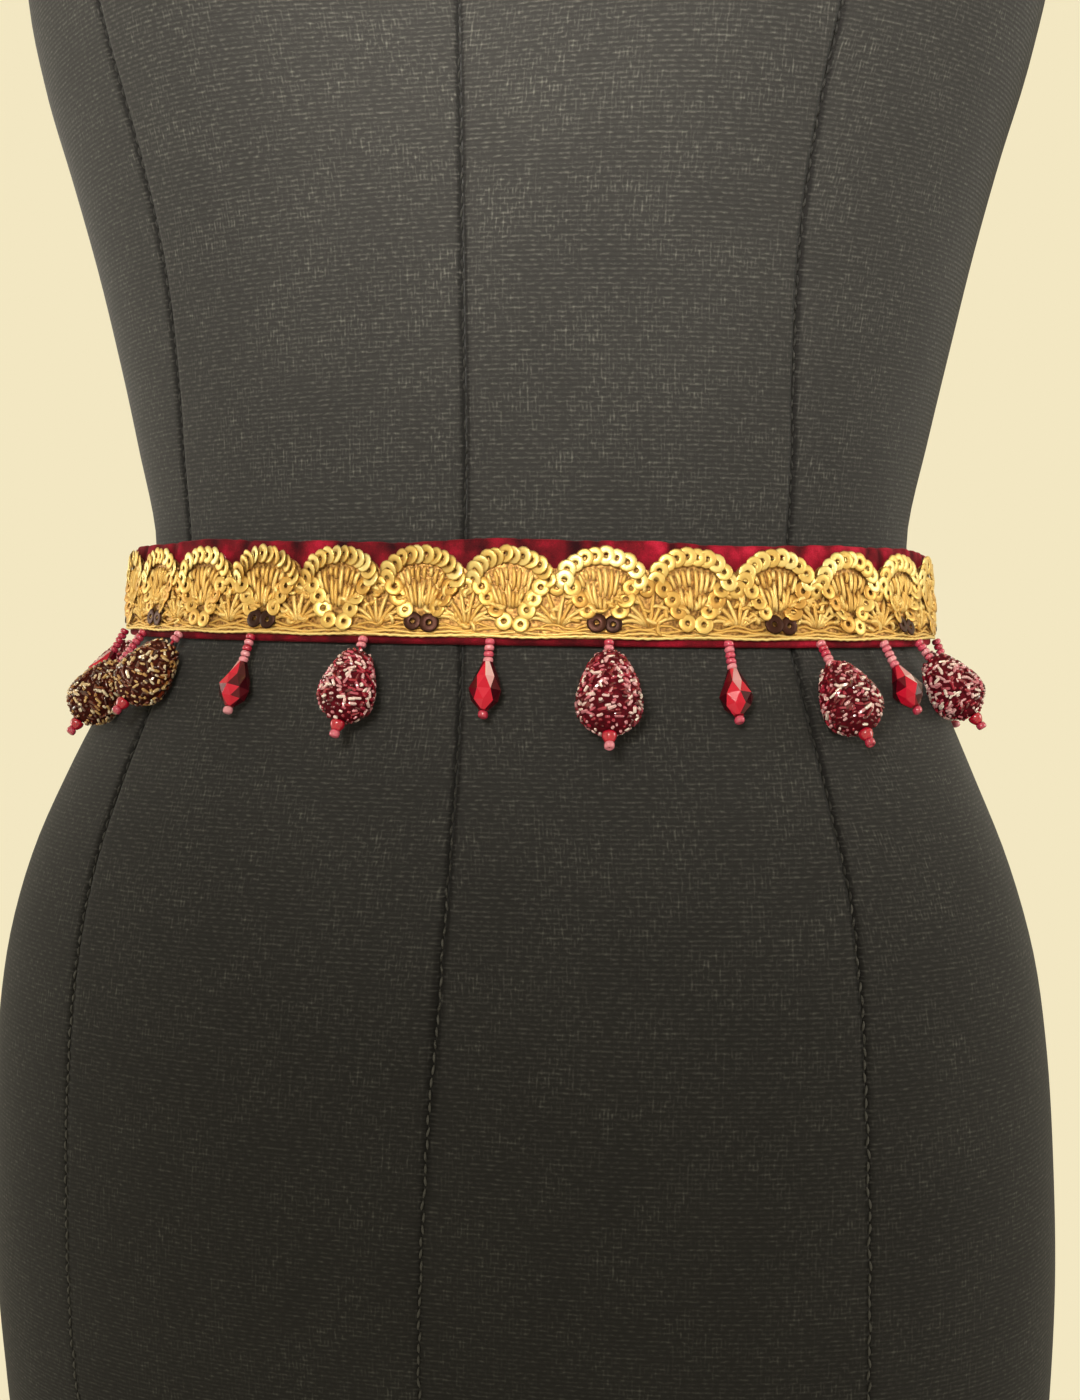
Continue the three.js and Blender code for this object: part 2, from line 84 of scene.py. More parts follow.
# The sewn cover of the form. Its seams run from the neck to the hem: one at the centre front, one at the
# centre back, one at each side, and a shaped one half way between each two. Their angles from the centre
# front, at heights:
SEAM_COLUMNS = ("height", "centre_front", "front_shaped", "back_shaped")
SEAMS = [
    (0, -0.01, 0.64, 2.48),
    (76, -0.008, 0.65, 2.48),
    (150, 0.0, 0.66, 2.47),
    (190, 0.004, 0.68, 2.44),
    (228, 0.01, 0.715, 2.4),
    (264, 0.022, 0.775, 2.34),
    (300, 0.031, 0.82, 2.31),
    (340, 0.03, 0.765, 2.34),
    (384, 0.024, 0.715, 2.4),
    (440, 0.012, 0.69, 2.44),
    (520, 0.0, 0.7, 2.46),
    (640, 0.0, 0.68, 2.48),
    (760, 0.0, 0.78, 2.36),
]
CAP_ROUNDING = 0.3  # of the edges of the boards that close the form's foot and neck
COVER_OUT = 0.45  # the cover's outer face, off the form's own surface
COVER_THICK = 0.9
PANELS = 8
PANEL_STEP = 400  # between the panels' own places on the cloth
SEAM_DEPTH = 1.1  # how deep the cover dips into a seam above the waist
SEAM_REACH = 0.95  # how far from the seam it dips
# The cover is stretched over the hips, where only a share of that depth is left. It grows between heights.
SEAM_SLACK = {"low": 80, "high": 270, "left": 0.22}
COVER_ROW = 6.0  # between the rows of the cover's mesh
COVER_EDGE = (0, 0.7, 1.5, 2.6, 4.6)  # the columns next to a seam, from the seam
COVER_COLUMNS = 12  # and the even ones between
STITCH = {"pitch": 3.3, "long": 2.5, "radius": 0.36, "lifted": 0.1, "arched": 0.3, "points": 4, "sides": 5}

# The velvet band, a straight strip wrapped once round the waist and lapped at the centre back.
BAND_BOTTOM = 266.6
BAND_HEIGHT = 28.3
BAND_THICK = 2.2
BAND_CLEAR = 0.8  # between the form and the band's inner face
BAND_STANDOFF = 0.6  # how far the wall is drawn from the form's slope towards upright
BELT_TILT = 0.012  # how much lower it sits for each millimetre to the wearer's left
BAND_RIPPLE = 0.5  # how far the velvet's top edge waves, and over what lengths
BAND_WAVES = (107, 46)
LAP = 18  # the lapped length, the gap inside it and the climb onto it
LAP_GAP = 1.6
LAP_RAMP = 20
BAND_STEP = 1.25  # between the sections of the band's mesh
BAND_EDGE = 1.05  # the radius of the turned-in edges
PUCKERS = 96  # the soft creases in the velvet above the border, all round
PAINTED_PILE_SHADING = {"border_edge_shadow": 0.12, "brushed_and_side_light": 0.38}  # painted shading of the velvet: how much darker it is painted as shadow under the border's lower edge, and lighter as painted light towards the wearer's left

# The border on the band's face.
SCALLOP_PITCH = 24.4
SCALLOP_START = 4.7  # where a scallop starts, from the centre front
BORDER_BOTTOM = 2.1  # up from the band's lower edge
BORDER_VALLEY = 17.6  # its own height between two scallops, and at their tops
BORDER_PEAK = 23.0
PIECE_GAP = 0.3
BORDER_BACK = BAND_THICK + PIECE_GAP  # out from the band's inner face
BORDER_ENDS = {"inner": 1, "outer": 1.5}  # how far it stops short of the lap
GROUND_THICK = 0.5
GROUND_SHORT = 0.5  # how far the net stops short of the sequins' outline
GROUND_STEP = 1.1
GROUND_ROWS = 9
# A sequin's outline from its hole over its dome to its rim and back underneath, as reach and height.
SEQUIN = [(0.6, 0.26), (0.95, 0.42), (2.3, 0.4), (2.62, 0.16), (1.3, 0.06)]
SEQUIN_SIDES = 13

# The outlines of the drops: the share of the way down, and the share of the largest radius there.
BERRY_PROFILE = [
    (0, 0.26),
    (0.04, 0.46),
    (0.18, 0.68),
    (0.38, 0.88),
    (0.6, 1),
    (0.78, 0.93),
    (0.92, 0.6),
    (1, 0.26),
]
CRYSTAL_PROFILE = [(0, 0.3), (0.32, 0.7), (0.6, 1), (0.82, 0.77), (1, 0.3)]
BERRY_RADIUS = 8.7
BERRY_WALL = 0.75  # between a berry's silk core and the outside of its beads
BERRY_BORE = 0.015  # the share of its height, at both ends, that is left bare round its bore
BEADS_ROUND_BERRY = 430  # on a berry of BERRY_RADIUS, more on a larger one and fewer on a smaller
BEAD_RADIUS = 0.43
GOLDEN_ANGLE = math.pi * (3 - math.sqrt(5))
SEED_BEAD = {"radius": 1.42, "high": 1.62, "parting": 0.06}
END_BEAD = {"radius": 1.45, "high": 2.0}
STRING = {"radius": 0.45, "tuck": 0.3}  # a drop's thread, and how far its end hides in the last bead
# The cup under a berry: the share of the way down, and its reach there in millimetres.
CAP_PROFILE = [(0, 1.6), (0.16, 1.9), (0.34, 2.0), (0.56, 1.85), (0.8, 1.4), (1, 1.0)]


# --------------------------------------------------------------------------------------------------
# Shapes worked out as functions. All of them take and give arrays.
def smooth(rows, columns, column, place):
    """A smooth curve through a table's rows: one column's value at a place along the first column."""
    table = np.array(rows, float)
    keys, values = table[:, 0], table[:, columns.index(column)]
    last = len(keys) - 1
    i = np.clip(np.searchsorted(keys, place, side="right") - 1, 0, last - 1)
    before, after = np.maximum(np.arange(last + 1) - 1, 0), np.minimum(np.arange(last + 1) + 1, last)
    slope = (values[after] - values[before]) / (keys[after] - keys[before])
    span = keys[i + 1] - keys[i]
    t = np.clip((place - keys[i]) / span, 0, 1)
    return (
        values[i] * (2 * t**3 - 3 * t**2 + 1)
        + slope[i] * span * (t**3 - 2 * t**2 + t)
        + values[i + 1] * (3 * t**2 - 2 * t**3)
        + slope[i + 1] * span * (t**3 - t**2)
    )


def form_point(angle, height):
    """A point of the form's surface. angle is 0 at the centre front and grows to the wearer's left."""
    angle, height = np.broadcast_arrays(np.asarray(angle, float), np.asarray(height, float))
    half_width, side, front, back, box_front, box_back = (
        smooth(FORM_SECTIONS, FORM_COLUMNS, column, height) for column in FORM_COLUMNS[1:]
    )
    sin, cos = np.sin(angle), np.cos(angle)
    depth = np.where(cos > 0, front + side, back - side)
    power = 2 / np.where(cos > 0, box_front, box_back)
    x = half_width * np.sign(sin) * np.abs(sin) ** power
    y = side - np.sign(cos) * depth * np.abs(cos) ** power
    up = np.exp(-(((height - BUST["height"]) / BUST["up_spread"]) ** 2))
    for sign in (-1, 1):
        across = np.exp(-(((x - sign * BUST["apart"]) / BUST["across_spread"]) ** 2))
        y = y - BUST["reach"] * up * across * np.maximum(cos, 0) ** 0.5
    return np.stack([x, y, height], axis=-1)


def unit(vectors):
    return vectors / np.linalg.norm(vectors, axis=-1, keepdims=True)


def outward(angle, height):
    """The way straight out from the form, level."""
    step = 0.01
    along = form_point(angle + step, height) - form_point(angle - step, height)
    return unit(np.stack([along[..., 1], -along[..., 0], np.zeros_like(along[..., 0])], axis=-1))


def form_normal(angle, height):
    """The way straight out from the form's surface, sloping where it slopes."""
    turn, rise = 0.01, 1.0
    across = form_point(angle + turn, height) - form_point(angle - turn, height)
    upward = form_point(angle, height + rise) - form_point(angle, height - rise)
    return unit(np.cross(across, upward))


def wall_point(angle, up, out):
    """A point off the belt's wall, which is straight from its lower edge to its upper."""
    angle, up, out = np.broadcast_arrays(*(np.asarray(value, float) for value in (angle, up, out)))
    low = BAND_BOTTOM - BELT_TILT * form_point(angle, BAND_BOTTOM)[..., 0]
    foot, head = form_point(angle, low), form_point(angle, low + BAND_HEIGHT)
    above = foot + np.array([0, 0, BAND_HEIGHT])
    head = head + (above - head) * BAND_STANDOFF
    share = (up / BAND_HEIGHT)[..., None]
    return foot + (head - foot) * share + outward(angle, low) * (BAND_CLEAR + out)[..., None]


def run_of(points):
    """How far along its line each point is. Several lines may come as one array."""
    steps = np.linalg.norm(np.diff(points, axis=-2), axis=-1)
    return np.concatenate([np.zeros_like(steps[..., :1]), np.cumsum(steps, axis=-1)], axis=-1)


def belt_measure():
    """Angles round the form, and the distances along the belt's face that they are at."""
    angles = np.linspace(-math.pi, math.pi, 721)
    return angles, run_of(wall_point(angles, BAND_HEIGHT / 2, BAND_THICK))


BELT_ANGLES, BELT_ALONG = belt_measure()
BELT_ROUND = BELT_ALONG[-1]


def belt_angle(at):
    turns = np.floor((at + BELT_ROUND / 2) / BELT_ROUND)
    left = at + BELT_ROUND / 2 - turns * BELT_ROUND
    return 2 * math.pi * turns + np.interp(left, BELT_ALONG, BELT_ANGLES)


def eased(value, low, high):
    t = np.clip((value - low) / (high - low), 0, 1)
    return t * t * (3 - 2 * t)


def lap_lift(at):
    """How far the belt is lifted where its outer end climbs onto the inner one."""
    lapped = BELT_ROUND / 2 - LAP / 2
    return (BAND_THICK + LAP_GAP) * eased(at, lapped - LAP_RAMP, lapped - 1)


def belt_point(at, up, out):
    """A point off the belt: along it, up from the band's lower edge, and out from its inner face."""
    at = np.asarray(at, float)
    return wall_point(belt_angle(at), up, lap_lift(at) + out)


def belt_axes(at, up):
    """The ways along the belt, up it and out of it, at places on it."""
    step = 0.5
    along = unit(belt_point(at + step, up, 0) - belt_point(at - step, up, 0))
    rise = unit(belt_point(at, up + step, 0) - belt_point(at, up - step, 0))
    out = unit(np.cross(along, rise))
    return along, unit(np.cross(out, along)), out


def band_top(at):
    """The height of the velvet's softly waving top edge."""
    long, short = (np.sin(2 * math.pi * at / wave) for wave in BAND_WAVES)
    return BAND_HEIGHT + BAND_RIPPLE * (long + short / 2)


def border_top(at):
    share = 2 * np.mod((at - SCALLOP_START) / SCALLOP_PITCH, 1) - 1
    return BORDER_VALLEY + (BORDER_PEAK - BORDER_VALLEY) * np.sqrt(np.maximum(1 - share**2, 0))


BORDER_START = -BELT_ROUND / 2 + LAP / 2 + BORDER_ENDS["inner"]
BORDER_END = BELT_ROUND / 2 + LAP / 2 - BORDER_ENDS["outer"]


# --------------------------------------------------------------------------------------------------
# Materials
WAVE_PERIOD = math.pi / 10  # the scale at which a wave texture's bands are one unit apart


def srgb(code):
    """A colour from its hex code, as Blender keeps it."""
    parts = [int(code[i : i + 2], 16) / 255 for i in (1, 3, 5)]
    linear = [c / 12.92 if c <= 0.04045 else ((c + 0.055) / 1.055) ** 2.4 for c in parts]
    return (*linear, 1.0)


def add(tree, kind, inputs=None, stops=(), **settings):
    """A node with its settings. Each of its inputs gets a value, a socket, or another node's first output.
    stops are a colour ramp's places and hex colours."""
    made = tree.nodes.new(kind)
    for name, value in settings.items():
        setattr(made, name, value)
    for name, value in (inputs or {}).items():
        if isinstance(value, bpy.types.Node):
            value = value.outputs[0]
        if isinstance(value, bpy.types.NodeSocket):
            tree.links.new(value, made.inputs[name])
        else:
            made.inputs[name].default_value = value
    if stops:
        points = made.color_ramp.elements
        while len(points) < len(stops):
            points.new(0.5)
        for point, (place, code) in zip(points, stops):
            point.position = place
            point.color = srgb(code)
    return made


def material(name, recipe, *values):
    """A material from its recipe, which adds nodes to an empty tree. It gives the inputs of a principled
    surface, or a shader of its own."""
    made = bpy.data.materials.new(name)
    made.use_nodes = True
    tree = made.node_tree
    tree.nodes.clear()
    surface = recipe(tree, *values)
    if isinstance(surface, dict):
        surface = add(tree, "ShaderNodeBsdfPrincipled", surface)
    add(tree, "ShaderNodeOutputMaterial", {"Surface": surface})
    return made


def cotton_rep(tree):
    # Charcoal cotton rep, woven with a heavy weft: level ribs in which the weft floats catch the light as
    # short dashes, crossed by a fainter upright grain where the warp shows. Matt and a little dusty. The
    # ribs and warps are drawn about twice as coarse as real ones, so that they show.
    rib, warp, dash, patch, dust = 1.25, 1.05, 2.0, 16, 45
    cloth = add(tree, "ShaderNodeUVMap", uv_map="cloth")
    waves = []
    for step, direction in ((rib, "Y"), (warp, "X")):
        size = (1 / (step * MM), 1 / (step * MM), 1)
        scaled = add(tree, "ShaderNodeMapping", {"Vector": cloth, "Scale": size})
        settings = {"Vector": scaled, "Scale": WAVE_PERIOD, "Distortion": 0.0}
        wave = add(tree, "ShaderNodeTexWave", settings, bands_direction=direction)
        waves.append(wave.outputs["Fac"])
    ribs, warps = waves
    clouds = []
    for across, up, detail, low, high in (
        (dash, rib * 0.8, 2.0, 0.46, 0.7),
        (warp * 0.9, dash * 1.3, 2.0, 0.48, 0.7),
        (patch, patch, 2.0, 0.35, 0.65),
        (dust, dust, 4.0, 0.0, 1.0),
    ):
        size = (1 / (across * MM), 1 / (up * MM), 1)
        scaled = add(tree, "ShaderNodeMapping", {"Vector": cloth, "Scale": size})
        noise = add(tree, "ShaderNodeTexNoise", {"Vector": scaled, "Scale": 1.0, "Detail": detail})
        clouds.append(add(tree, "ShaderNodeMapRange", {"Value": noise, "From Min": low, "From Max": high}))
    dashes, grains, patches, dust_and_seam_shade = clouds
    # the depth of the dip along each seam, which darkens the cloth there as painted shade
    fold = add(tree, "ShaderNodeAttribute", attribute_name="fold").outputs["Fac"]
    floats = add(tree, "ShaderNodeMath", {0: dashes, 1: ribs}, operation="MULTIPLY")
    grain = add(tree, "ShaderNodeMath", {0: grains, 1: warps}, operation="MULTIPLY")
    half = add(tree, "ShaderNodeMath", {0: grain, 1: 0.5}, operation="MULTIPLY")
    upright = add(tree, "ShaderNodeMath", {0: half, 1: patches}, operation="MULTIPLY")
    level = add(tree, "ShaderNodeMath", {0: floats, 1: 0.42, 2: 0.2}, operation="MULTIPLY_ADD")
    tone = add(tree, "ShaderNodeMath", {0: ribs, 1: 0.08, 2: level}, operation="MULTIPLY_ADD")
    tone = add(tree, "ShaderNodeMath", {0: tone, 1: upright}, operation="ADD")
    tone = add(tree, "ShaderNodeMath", {0: dust_and_seam_shade, 1: 0.12, 2: tone}, operation="MULTIPLY_ADD")
    tone = add(tree, "ShaderNodeMath", {0: fold, 1: -0.6, 2: tone}, operation="MULTIPLY_ADD")
    stops = ((0.1, "#1b1a19"), (0.36, "#302f2d"), (0.62, "#42413d"), (0.9, "#5a5953"))
    raised = add(tree, "ShaderNodeMath", {0: floats, 1: 0.6}, operation="MULTIPLY")
    raised = add(tree, "ShaderNodeMath", {0: ribs, 1: 0.5, 2: raised}, operation="MULTIPLY_ADD")
    raised = add(tree, "ShaderNodeMath", {0: grain, 1: 0.3, 2: raised}, operation="MULTIPLY_ADD")
    bump = {"Height": raised, "Strength": 0.5, "Distance": 0.2 * MM}
    return {
        "Base Color": add(tree, "ShaderNodeValToRGB", {"Fac": tone}, stops),
        "Roughness": 0.92,
        "Specular IOR Level": 0.15,
        "Sheen Weight": 0.08,
        "Sheen Roughness": 0.5,
        "Normal": add(tree, "ShaderNodeBump", bump),
    }


def sewing_thread(tree):
    # Spun polyester sewing thread, matt, with painted shade: near black deep in a seam, and grey where it
    # is drawn flat.
    place = add(tree, "ShaderNodeTexCoord").outputs["Object"]
    fuzz = add(tree, "ShaderNodeTexNoise", {"Vector": place, "Scale": 1800.0, "Detail": 2.0})
    dust_and_seam_shade = add(tree, "ShaderNodeAttribute", attribute_name="tone").outputs["Fac"]
    mixed = add(tree, "ShaderNodeMath", {0: fuzz, 1: dust_and_seam_shade}, operation="ADD")
    stops = ((0.3, "#131211"), (0.75, "#23221f"), (1.3, "#4c4b46"))
    return {"Base Color": add(tree, "ShaderNodeValToRGB", {"Fac": mixed}, stops), "Roughness": 0.8}


def cotton_velvet(tree):
    # Dark red cotton velvet: a short upright pile, dark where it is looked straight into and lighter at a
    # slant. Its painted shading darkens it as painted shade in its creases and under the border's lower
    # edge, and lightens it as painted light on its ridges and towards the wearer's left.
    pile_width, brushed_and_side_light = 0.35, 6.0
    place = add(tree, "ShaderNodeTexCoord").outputs["Object"]
    pile = add(tree, "ShaderNodeTexNoise", {"Vector": place, "Scale": 1 / (pile_width * MM), "Detail": 2.0})
    strokes = add(tree, "ShaderNodeTexNoise", {"Vector": place, "Scale": 1 / (brushed_and_side_light * MM), "Detail": 3.0})
    crease = add(tree, "ShaderNodeAttribute", attribute_name="crease").outputs["Fac"]
    mixed = add(tree, "ShaderNodeMath", {0: pile, 1: 0.3}, operation="MULTIPLY")
    mixed = add(tree, "ShaderNodeMath", {0: strokes, 1: mixed}, operation="ADD")
    # the painted shading: painted shade where it is above nought, painted light where it is below
    mixed = add(tree, "ShaderNodeMath", {0: crease, 1: -0.42, 2: mixed}, operation="MULTIPLY_ADD")
    stops = ((0.28, "#24040a"), (0.5, "#4a0710"), (0.68, "#6b0c19"), (0.84, "#930f27"), (1.0, "#b8223a"))
    return {
        "Base Color": add(tree, "ShaderNodeValToRGB", {"Fac": mixed}, stops),
        "Roughness": 0.85,
        "Specular IOR Level": 0.12,
        "Sheen Weight": 0.3,
        "Sheen Roughness": 0.35,
        "Sheen Tint": srgb("#d2374e"),
        "Normal": add(tree, "ShaderNodeBump", {"Height": pile, "Strength": 0.5, "Distance": 0.15 * MM}),
    }


def toned_metal(tree, stops, metallic, roughness, grain, depth):
    # A metal whose colour follows each small piece's own tone, with a fine grain that wide and deep.
    place = add(tree, "ShaderNodeTexCoord").outputs["Object"]
    tone = add(tree, "ShaderNodeAttribute", attribute_name="tone").outputs["Fac"]
    fine = add(tree, "ShaderNodeTexNoise", {"Vector": place, "Scale": 1 / (grain * MM), "Detail": 2.0})
    rough = {"Value": fine, "To Min": roughness * 0.7, "To Max": roughness * 1.4}
    return {
        "Base Color": add(tree, "ShaderNodeValToRGB", {"Fac": tone}, stops),
        "Metallic": metallic,
        "Roughness": add(tree, "ShaderNodeMapRange", rough),
        "Normal": add(tree, "ShaderNodeBump", {"Height": fine, "Strength": 0.4, "Distance": depth * MM}),
    }


def zari_net(tree):
    # The net ground, woven of the same gilt thread as the stitches on it, darker in its open places.
    mesh_step = 0.9
    cloth = add(tree, "ShaderNodeUVMap", uv_map="cloth")
    size = (1 / (mesh_step * MM), 1 / (mesh_step * MM), 1)
    cells = add(tree, "ShaderNodeMapping", {"Vector": cloth, "Scale": size})
    net = add(tree, "ShaderNodeTexVoronoi", {"Vector": cells, "Scale": 1.0})
    stops = ((0.1, "#59391a"), (0.4, "#86602f"), (0.75, "#b98f52"))
    return {
        "Base Color": add(tree, "ShaderNodeValToRGB", {"Fac": net}, stops),
        "Metallic": 0.75,
        "Roughness": 0.5,
        "Normal": add(tree, "ShaderNodeBump", {"Height": net, "Strength": 0.6, "Distance": 0.2 * MM}),
    }


def bead_glass(tree, *stops):
    # Pressed glass beads whose colour follows each bead's own tone.
    tone = add(tree, "ShaderNodeAttribute", attribute_name="tone").outputs["Fac"]
    place = add(tree, "ShaderNodeTexCoord").outputs["Object"]
    swirl = add(tree, "ShaderNodeTexNoise", {"Vector": place, "Scale": 900.0, "Detail": 1.0})
    return {
        "Base Color": add(tree, "ShaderNodeValToRGB", {"Fac": tone}, stops),
        "Roughness": add(tree, "ShaderNodeMapRange", {"Value": swirl, "To Min": 0.08, "To Max": 0.3}),
        "IOR": 1.5,
        "Coat Weight": 0.6,
        "Coat Roughness": 0.06,
    }


def silk(tree, scale, detail, roughness, specular, dark, light):
    # Spun silk: a fine twist in a sewing thread, satin, or coarser windings round a drop's core, matt.
    place = add(tree, "ShaderNodeTexCoord").outputs["Object"]
    twist = add(tree, "ShaderNodeTexNoise", {"Vector": place, "Scale": scale, "Detail": detail})
    colour = add(tree, "ShaderNodeValToRGB", {"Fac": twist}, ((0.3, dark), (0.7, light)))
    return {"Base Color": colour, "Roughness": roughness, "Specular IOR Level": specular}


def cut_glass(tree):
    # Siam red cut glass, polished. Each facet shows one bright or dark thing behind it, which is too fine
    # for the light to find here, so the facets' own tones carry it: wine at the sides, red at the foot, and
    # pale in the windows.
    tone = add(tree, "ShaderNodeAttribute", attribute_name="tone").outputs["Fac"]
    stops = ((0.0, "#26020a"), (0.3, "#6a0619"), (0.6, "#d0102f"), (0.8, "#c4505f"), (1.0, "#e0c0b8"))
    return {
        "Base Color": add(tree, "ShaderNodeValToRGB", {"Fac": tone}, stops),
        "Roughness": 0.2,
        "IOR": 1.55,
        "Specular IOR Level": 0.2,
        "Coat Weight": 0.2,
        "Coat Roughness": 0.02,
    }


def nickel_steel(tree):
    # Nickel plated steel hooks, bright with a fine drawn grain.
    place = add(tree, "ShaderNodeTexCoord").outputs["Object"]
    drawn = add(tree, "ShaderNodeMapping", {"Vector": place, "Scale": (4000.0, 4000.0, 200.0)})
    grain = add(tree, "ShaderNodeTexNoise", {"Vector": drawn, "Scale": 1.0, "Detail": 2.0})
    rough = add(tree, "ShaderNodeMapRange", {"Value": grain, "To Min": 0.22, "To Max": 0.4})
    return {"Base Color": srgb("#b9b8b4"), "Metallic": 1.0, "Roughness": rough}


def covered_board(tree):
    # The form's foot and neck are closed with board under glued black paper.
    place = add(tree, "ShaderNodeTexCoord").outputs["Object"]
    fibres = add(tree, "ShaderNodeTexNoise", {"Vector": place, "Scale": 300.0, "Detail": 5.0})
    stops = ((0.35, "#1c1b19"), (0.65, "#2f2d2a"))
    return {
        "Base Color": add(tree, "ShaderNodeValToRGB", {"Fac": fibres}, stops),
        "Roughness": 0.7,
        "Normal": add(tree, "ShaderNodeBump", {"Height": fibres, "Strength": 0.3, "Distance": 0.2 * MM}),
    }


FORM_CLOTH = material("cotton_rep_charcoal", cotton_rep)
SEAM_THREAD = material("polyester_thread_black", sewing_thread)
VELVET = material("cotton_velvet_red", cotton_velvet)
# Cup sequins stamped from vacuum-metallised film: bright gold, a little worn and uneven, and some lacquered
# brown.
GOLD_TONES = ((0.0, "#b98642"), (0.35, "#cfa65a"), (0.7, "#dfbf73"), (1.0, "#efdc98"))
BROWN_TONES = ((0.0, "#260f08"), (1.0, "#452010"))
GOLD_FILM = material("metallised_film_gold", toned_metal, GOLD_TONES, 0.8, 0.42, 1.6, 0.05)
BROWN_FILM = material("metallised_film_brown", toned_metal, BROWN_TONES, 0.7, 0.42, 1.6, 0.05)
# Zari, flat gilt wire wound on a silk core: a satin gold with a fine twist.
ZARI_TONES = ((0.0, "#b2863f"), (0.5, "#d3aa5c"), (1.0, "#ecd189"))
ZARI = material("zari_gilt_thread", toned_metal, ZARI_TONES, 0.6, 0.55, 0.35, 0.12)
GROUND = material("zari_net_ground", zari_net)
# Silver-lined rocaille and bugle beads, wine red glass, about half of them painted pale pink as the
# painted reflection of their lining, and amber ones on the drops next to the side of the waist, whose pale
# tones are painted reflection too. The seed beads on the strings are of pink-lined red glass.
RED_TONES = ((0.0, "#4c0611"), (0.4, "#9c102c"), (0.5, "#bd4259"), (0.72, "#e0a8a8"), (1.0, "#f8e8d6"))
AMBER_TONES = ((0.0, "#3c120a"), (0.42, "#6e2a12"), (0.5, "#96561f"), (0.72, "#d2a866"), (1.0, "#f3e2c0"))
STRING_TONES = ((0.0, "#b80f2c"), (0.25, "#b3193a"), (0.55, "#cf4a64"), (1.0, "#eca9ad"))
RED_BEADS = material("silver_lined_bead_glass", bead_glass, *RED_TONES)
BROWN_BEADS = material("amber_lined_bead_glass", bead_glass, *AMBER_TONES)
STRING_BEADS = material("pink_lined_seed_glass", bead_glass, *STRING_TONES)
WINE_CORE = material("silk_core_wine", silk, 700.0, 2.0, 0.85, 0.1, "#3a050d", "#66091a")
BROWN_CORE = material("silk_core_brown", silk, 700.0, 2.0, 0.85, 0.1, "#2a0c08", "#4e1a10")
PINK_SILK = material("spun_silk_pink", silk, 2500.0, 1.0, 0.5, 0.5, "#a83a52", "#d98a94")
CUT_GLASS = material("cut_glass_siam_red", cut_glass)
STEEL = material("nickel_plated_steel", nickel_steel)
BOARD = material("paper_covered_board", covered_board)


# --------------------------------------------------------------------------------------------------
# Making meshes
def deselect():
    bpy.ops.object.select_all(action="DESELECT")


def pick(piece):
    """The piece alone is selected and active, for the operator that comes next."""
    deselect()
    piece.select_set(True)
    bpy.context.view_layer.objects.active = piece


def just_added(name):
    """The shape that was just added, under its own name."""
    piece = bpy.context.object
    piece.name = piece.data.name = name
    return piece


def points_of(piece):
    flat = np.empty(len(piece.data.vertices) * 3)
    piece.data.vertices.foreach_get("co", flat)
    return flat.reshape(-1, 3)


def move_points(piece, points):
    piece.data.vertices.foreach_set("co", points.ravel())
    piece.data.update()


def mapped_grid(name, columns, rows, place):
    """A sheet from a grid primitive. place turns its points' shares across and up to millimetres."""
    deselect()
    bpy.ops.mesh.primitive_grid_add(x_subdivisions=columns, y_subdivisions=rows, size=1)
    piece = just_added(name)
    shares = points_of(piece)[:, :2] + 0.5
    move_points(piece, place(shares[:, 0], shares[:, 1]) * MM)
    return piece, shares


def set_cloth_map(piece, across, up):
    """The piece's own cloth map, in metres, from a value for each of its points."""
    layer = piece.data.uv_layers[0]
    layer.name = "cloth"
    corners = np.empty(len(piece.data.loops), int)
    piece.data.loops.foreach_get("vertex_index", corners)
    layer.data.foreach_set("uv", (np.stack([across, up], axis=1)[corners] * MM).ravel())


def keep_shade(piece, name, values):
    """A value for each of the piece's points, which its material reads."""
    piece.data.attributes.new(name, "FLOAT", "POINT").data.foreach_set("value", values)


def thicken(piece, thickness, offset=-1):
    wall = piece.modifiers.new("wall", "SOLIDIFY")
    wall.thickness = thickness * MM
    wall.offset = offset
    wall.use_even_offset = True
    pick(piece)
    bpy.ops.object.modifier_apply(modifier=wall.name)


def shade(piece, angle=None):
    """Smooth all over, or only where its faces meet at less than an angle in degrees."""
    pick(piece)
    if angle is None:
        bpy.ops.object.shade_smooth()
    else:
        bpy.ops.object.shade_smooth_by_angle(angle=math.radians(angle))


def dress(piece, finish, slot, *nodes):
    """Gives a finished piece its material, hangs it under the root and hides the nodes that it stands for.
    slot is not used.
    """
    piece.data.materials.clear()
    piece.data.materials.append(finish)
    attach(piece, "root")
    if nodes:
        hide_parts(*nodes)
    return piece


def joined(name, points, faces, tones):
    """One mesh from an array of points in millimetres and faces. tones gives each point its own tone."""
    mesh = bpy.data.meshes.new(name)
    mesh.from_pydata((np.asarray(points) * MM).tolist(), [], [list(map(int, face)) for face in faces])
    mesh.update()
    piece = bpy.data.objects.new(name, mesh)
    bpy.context.scene.collection.objects.link(piece)
    keep_shade(piece, "tone", np.asarray(tones, float))
    return piece


def pattern_of(make, **settings):
    """The points, in millimetres, and faces of a shape that is modelled once and then repeated."""
    deselect()
    make(**settings)
    piece = bpy.context.object
    points = points_of(piece).copy()
    faces = [tuple(face.vertices) for face in piece.data.polygons]
    bpy.data.objects.remove(piece)
    return points, faces


def repeated(points, faces, places, axes):
    """Copies of a shape at places, each turned to its own three axes, whose lengths are its sizes."""
    count = len(points)
    spread = np.einsum("nij,pi->npj", np.asarray(axes), points) + np.asarray(places)[:, None, :]
    copies = [tuple(i + k * count for i in face) for k in range(len(places)) for face in faces]
    return spread.reshape(-1, 3), copies


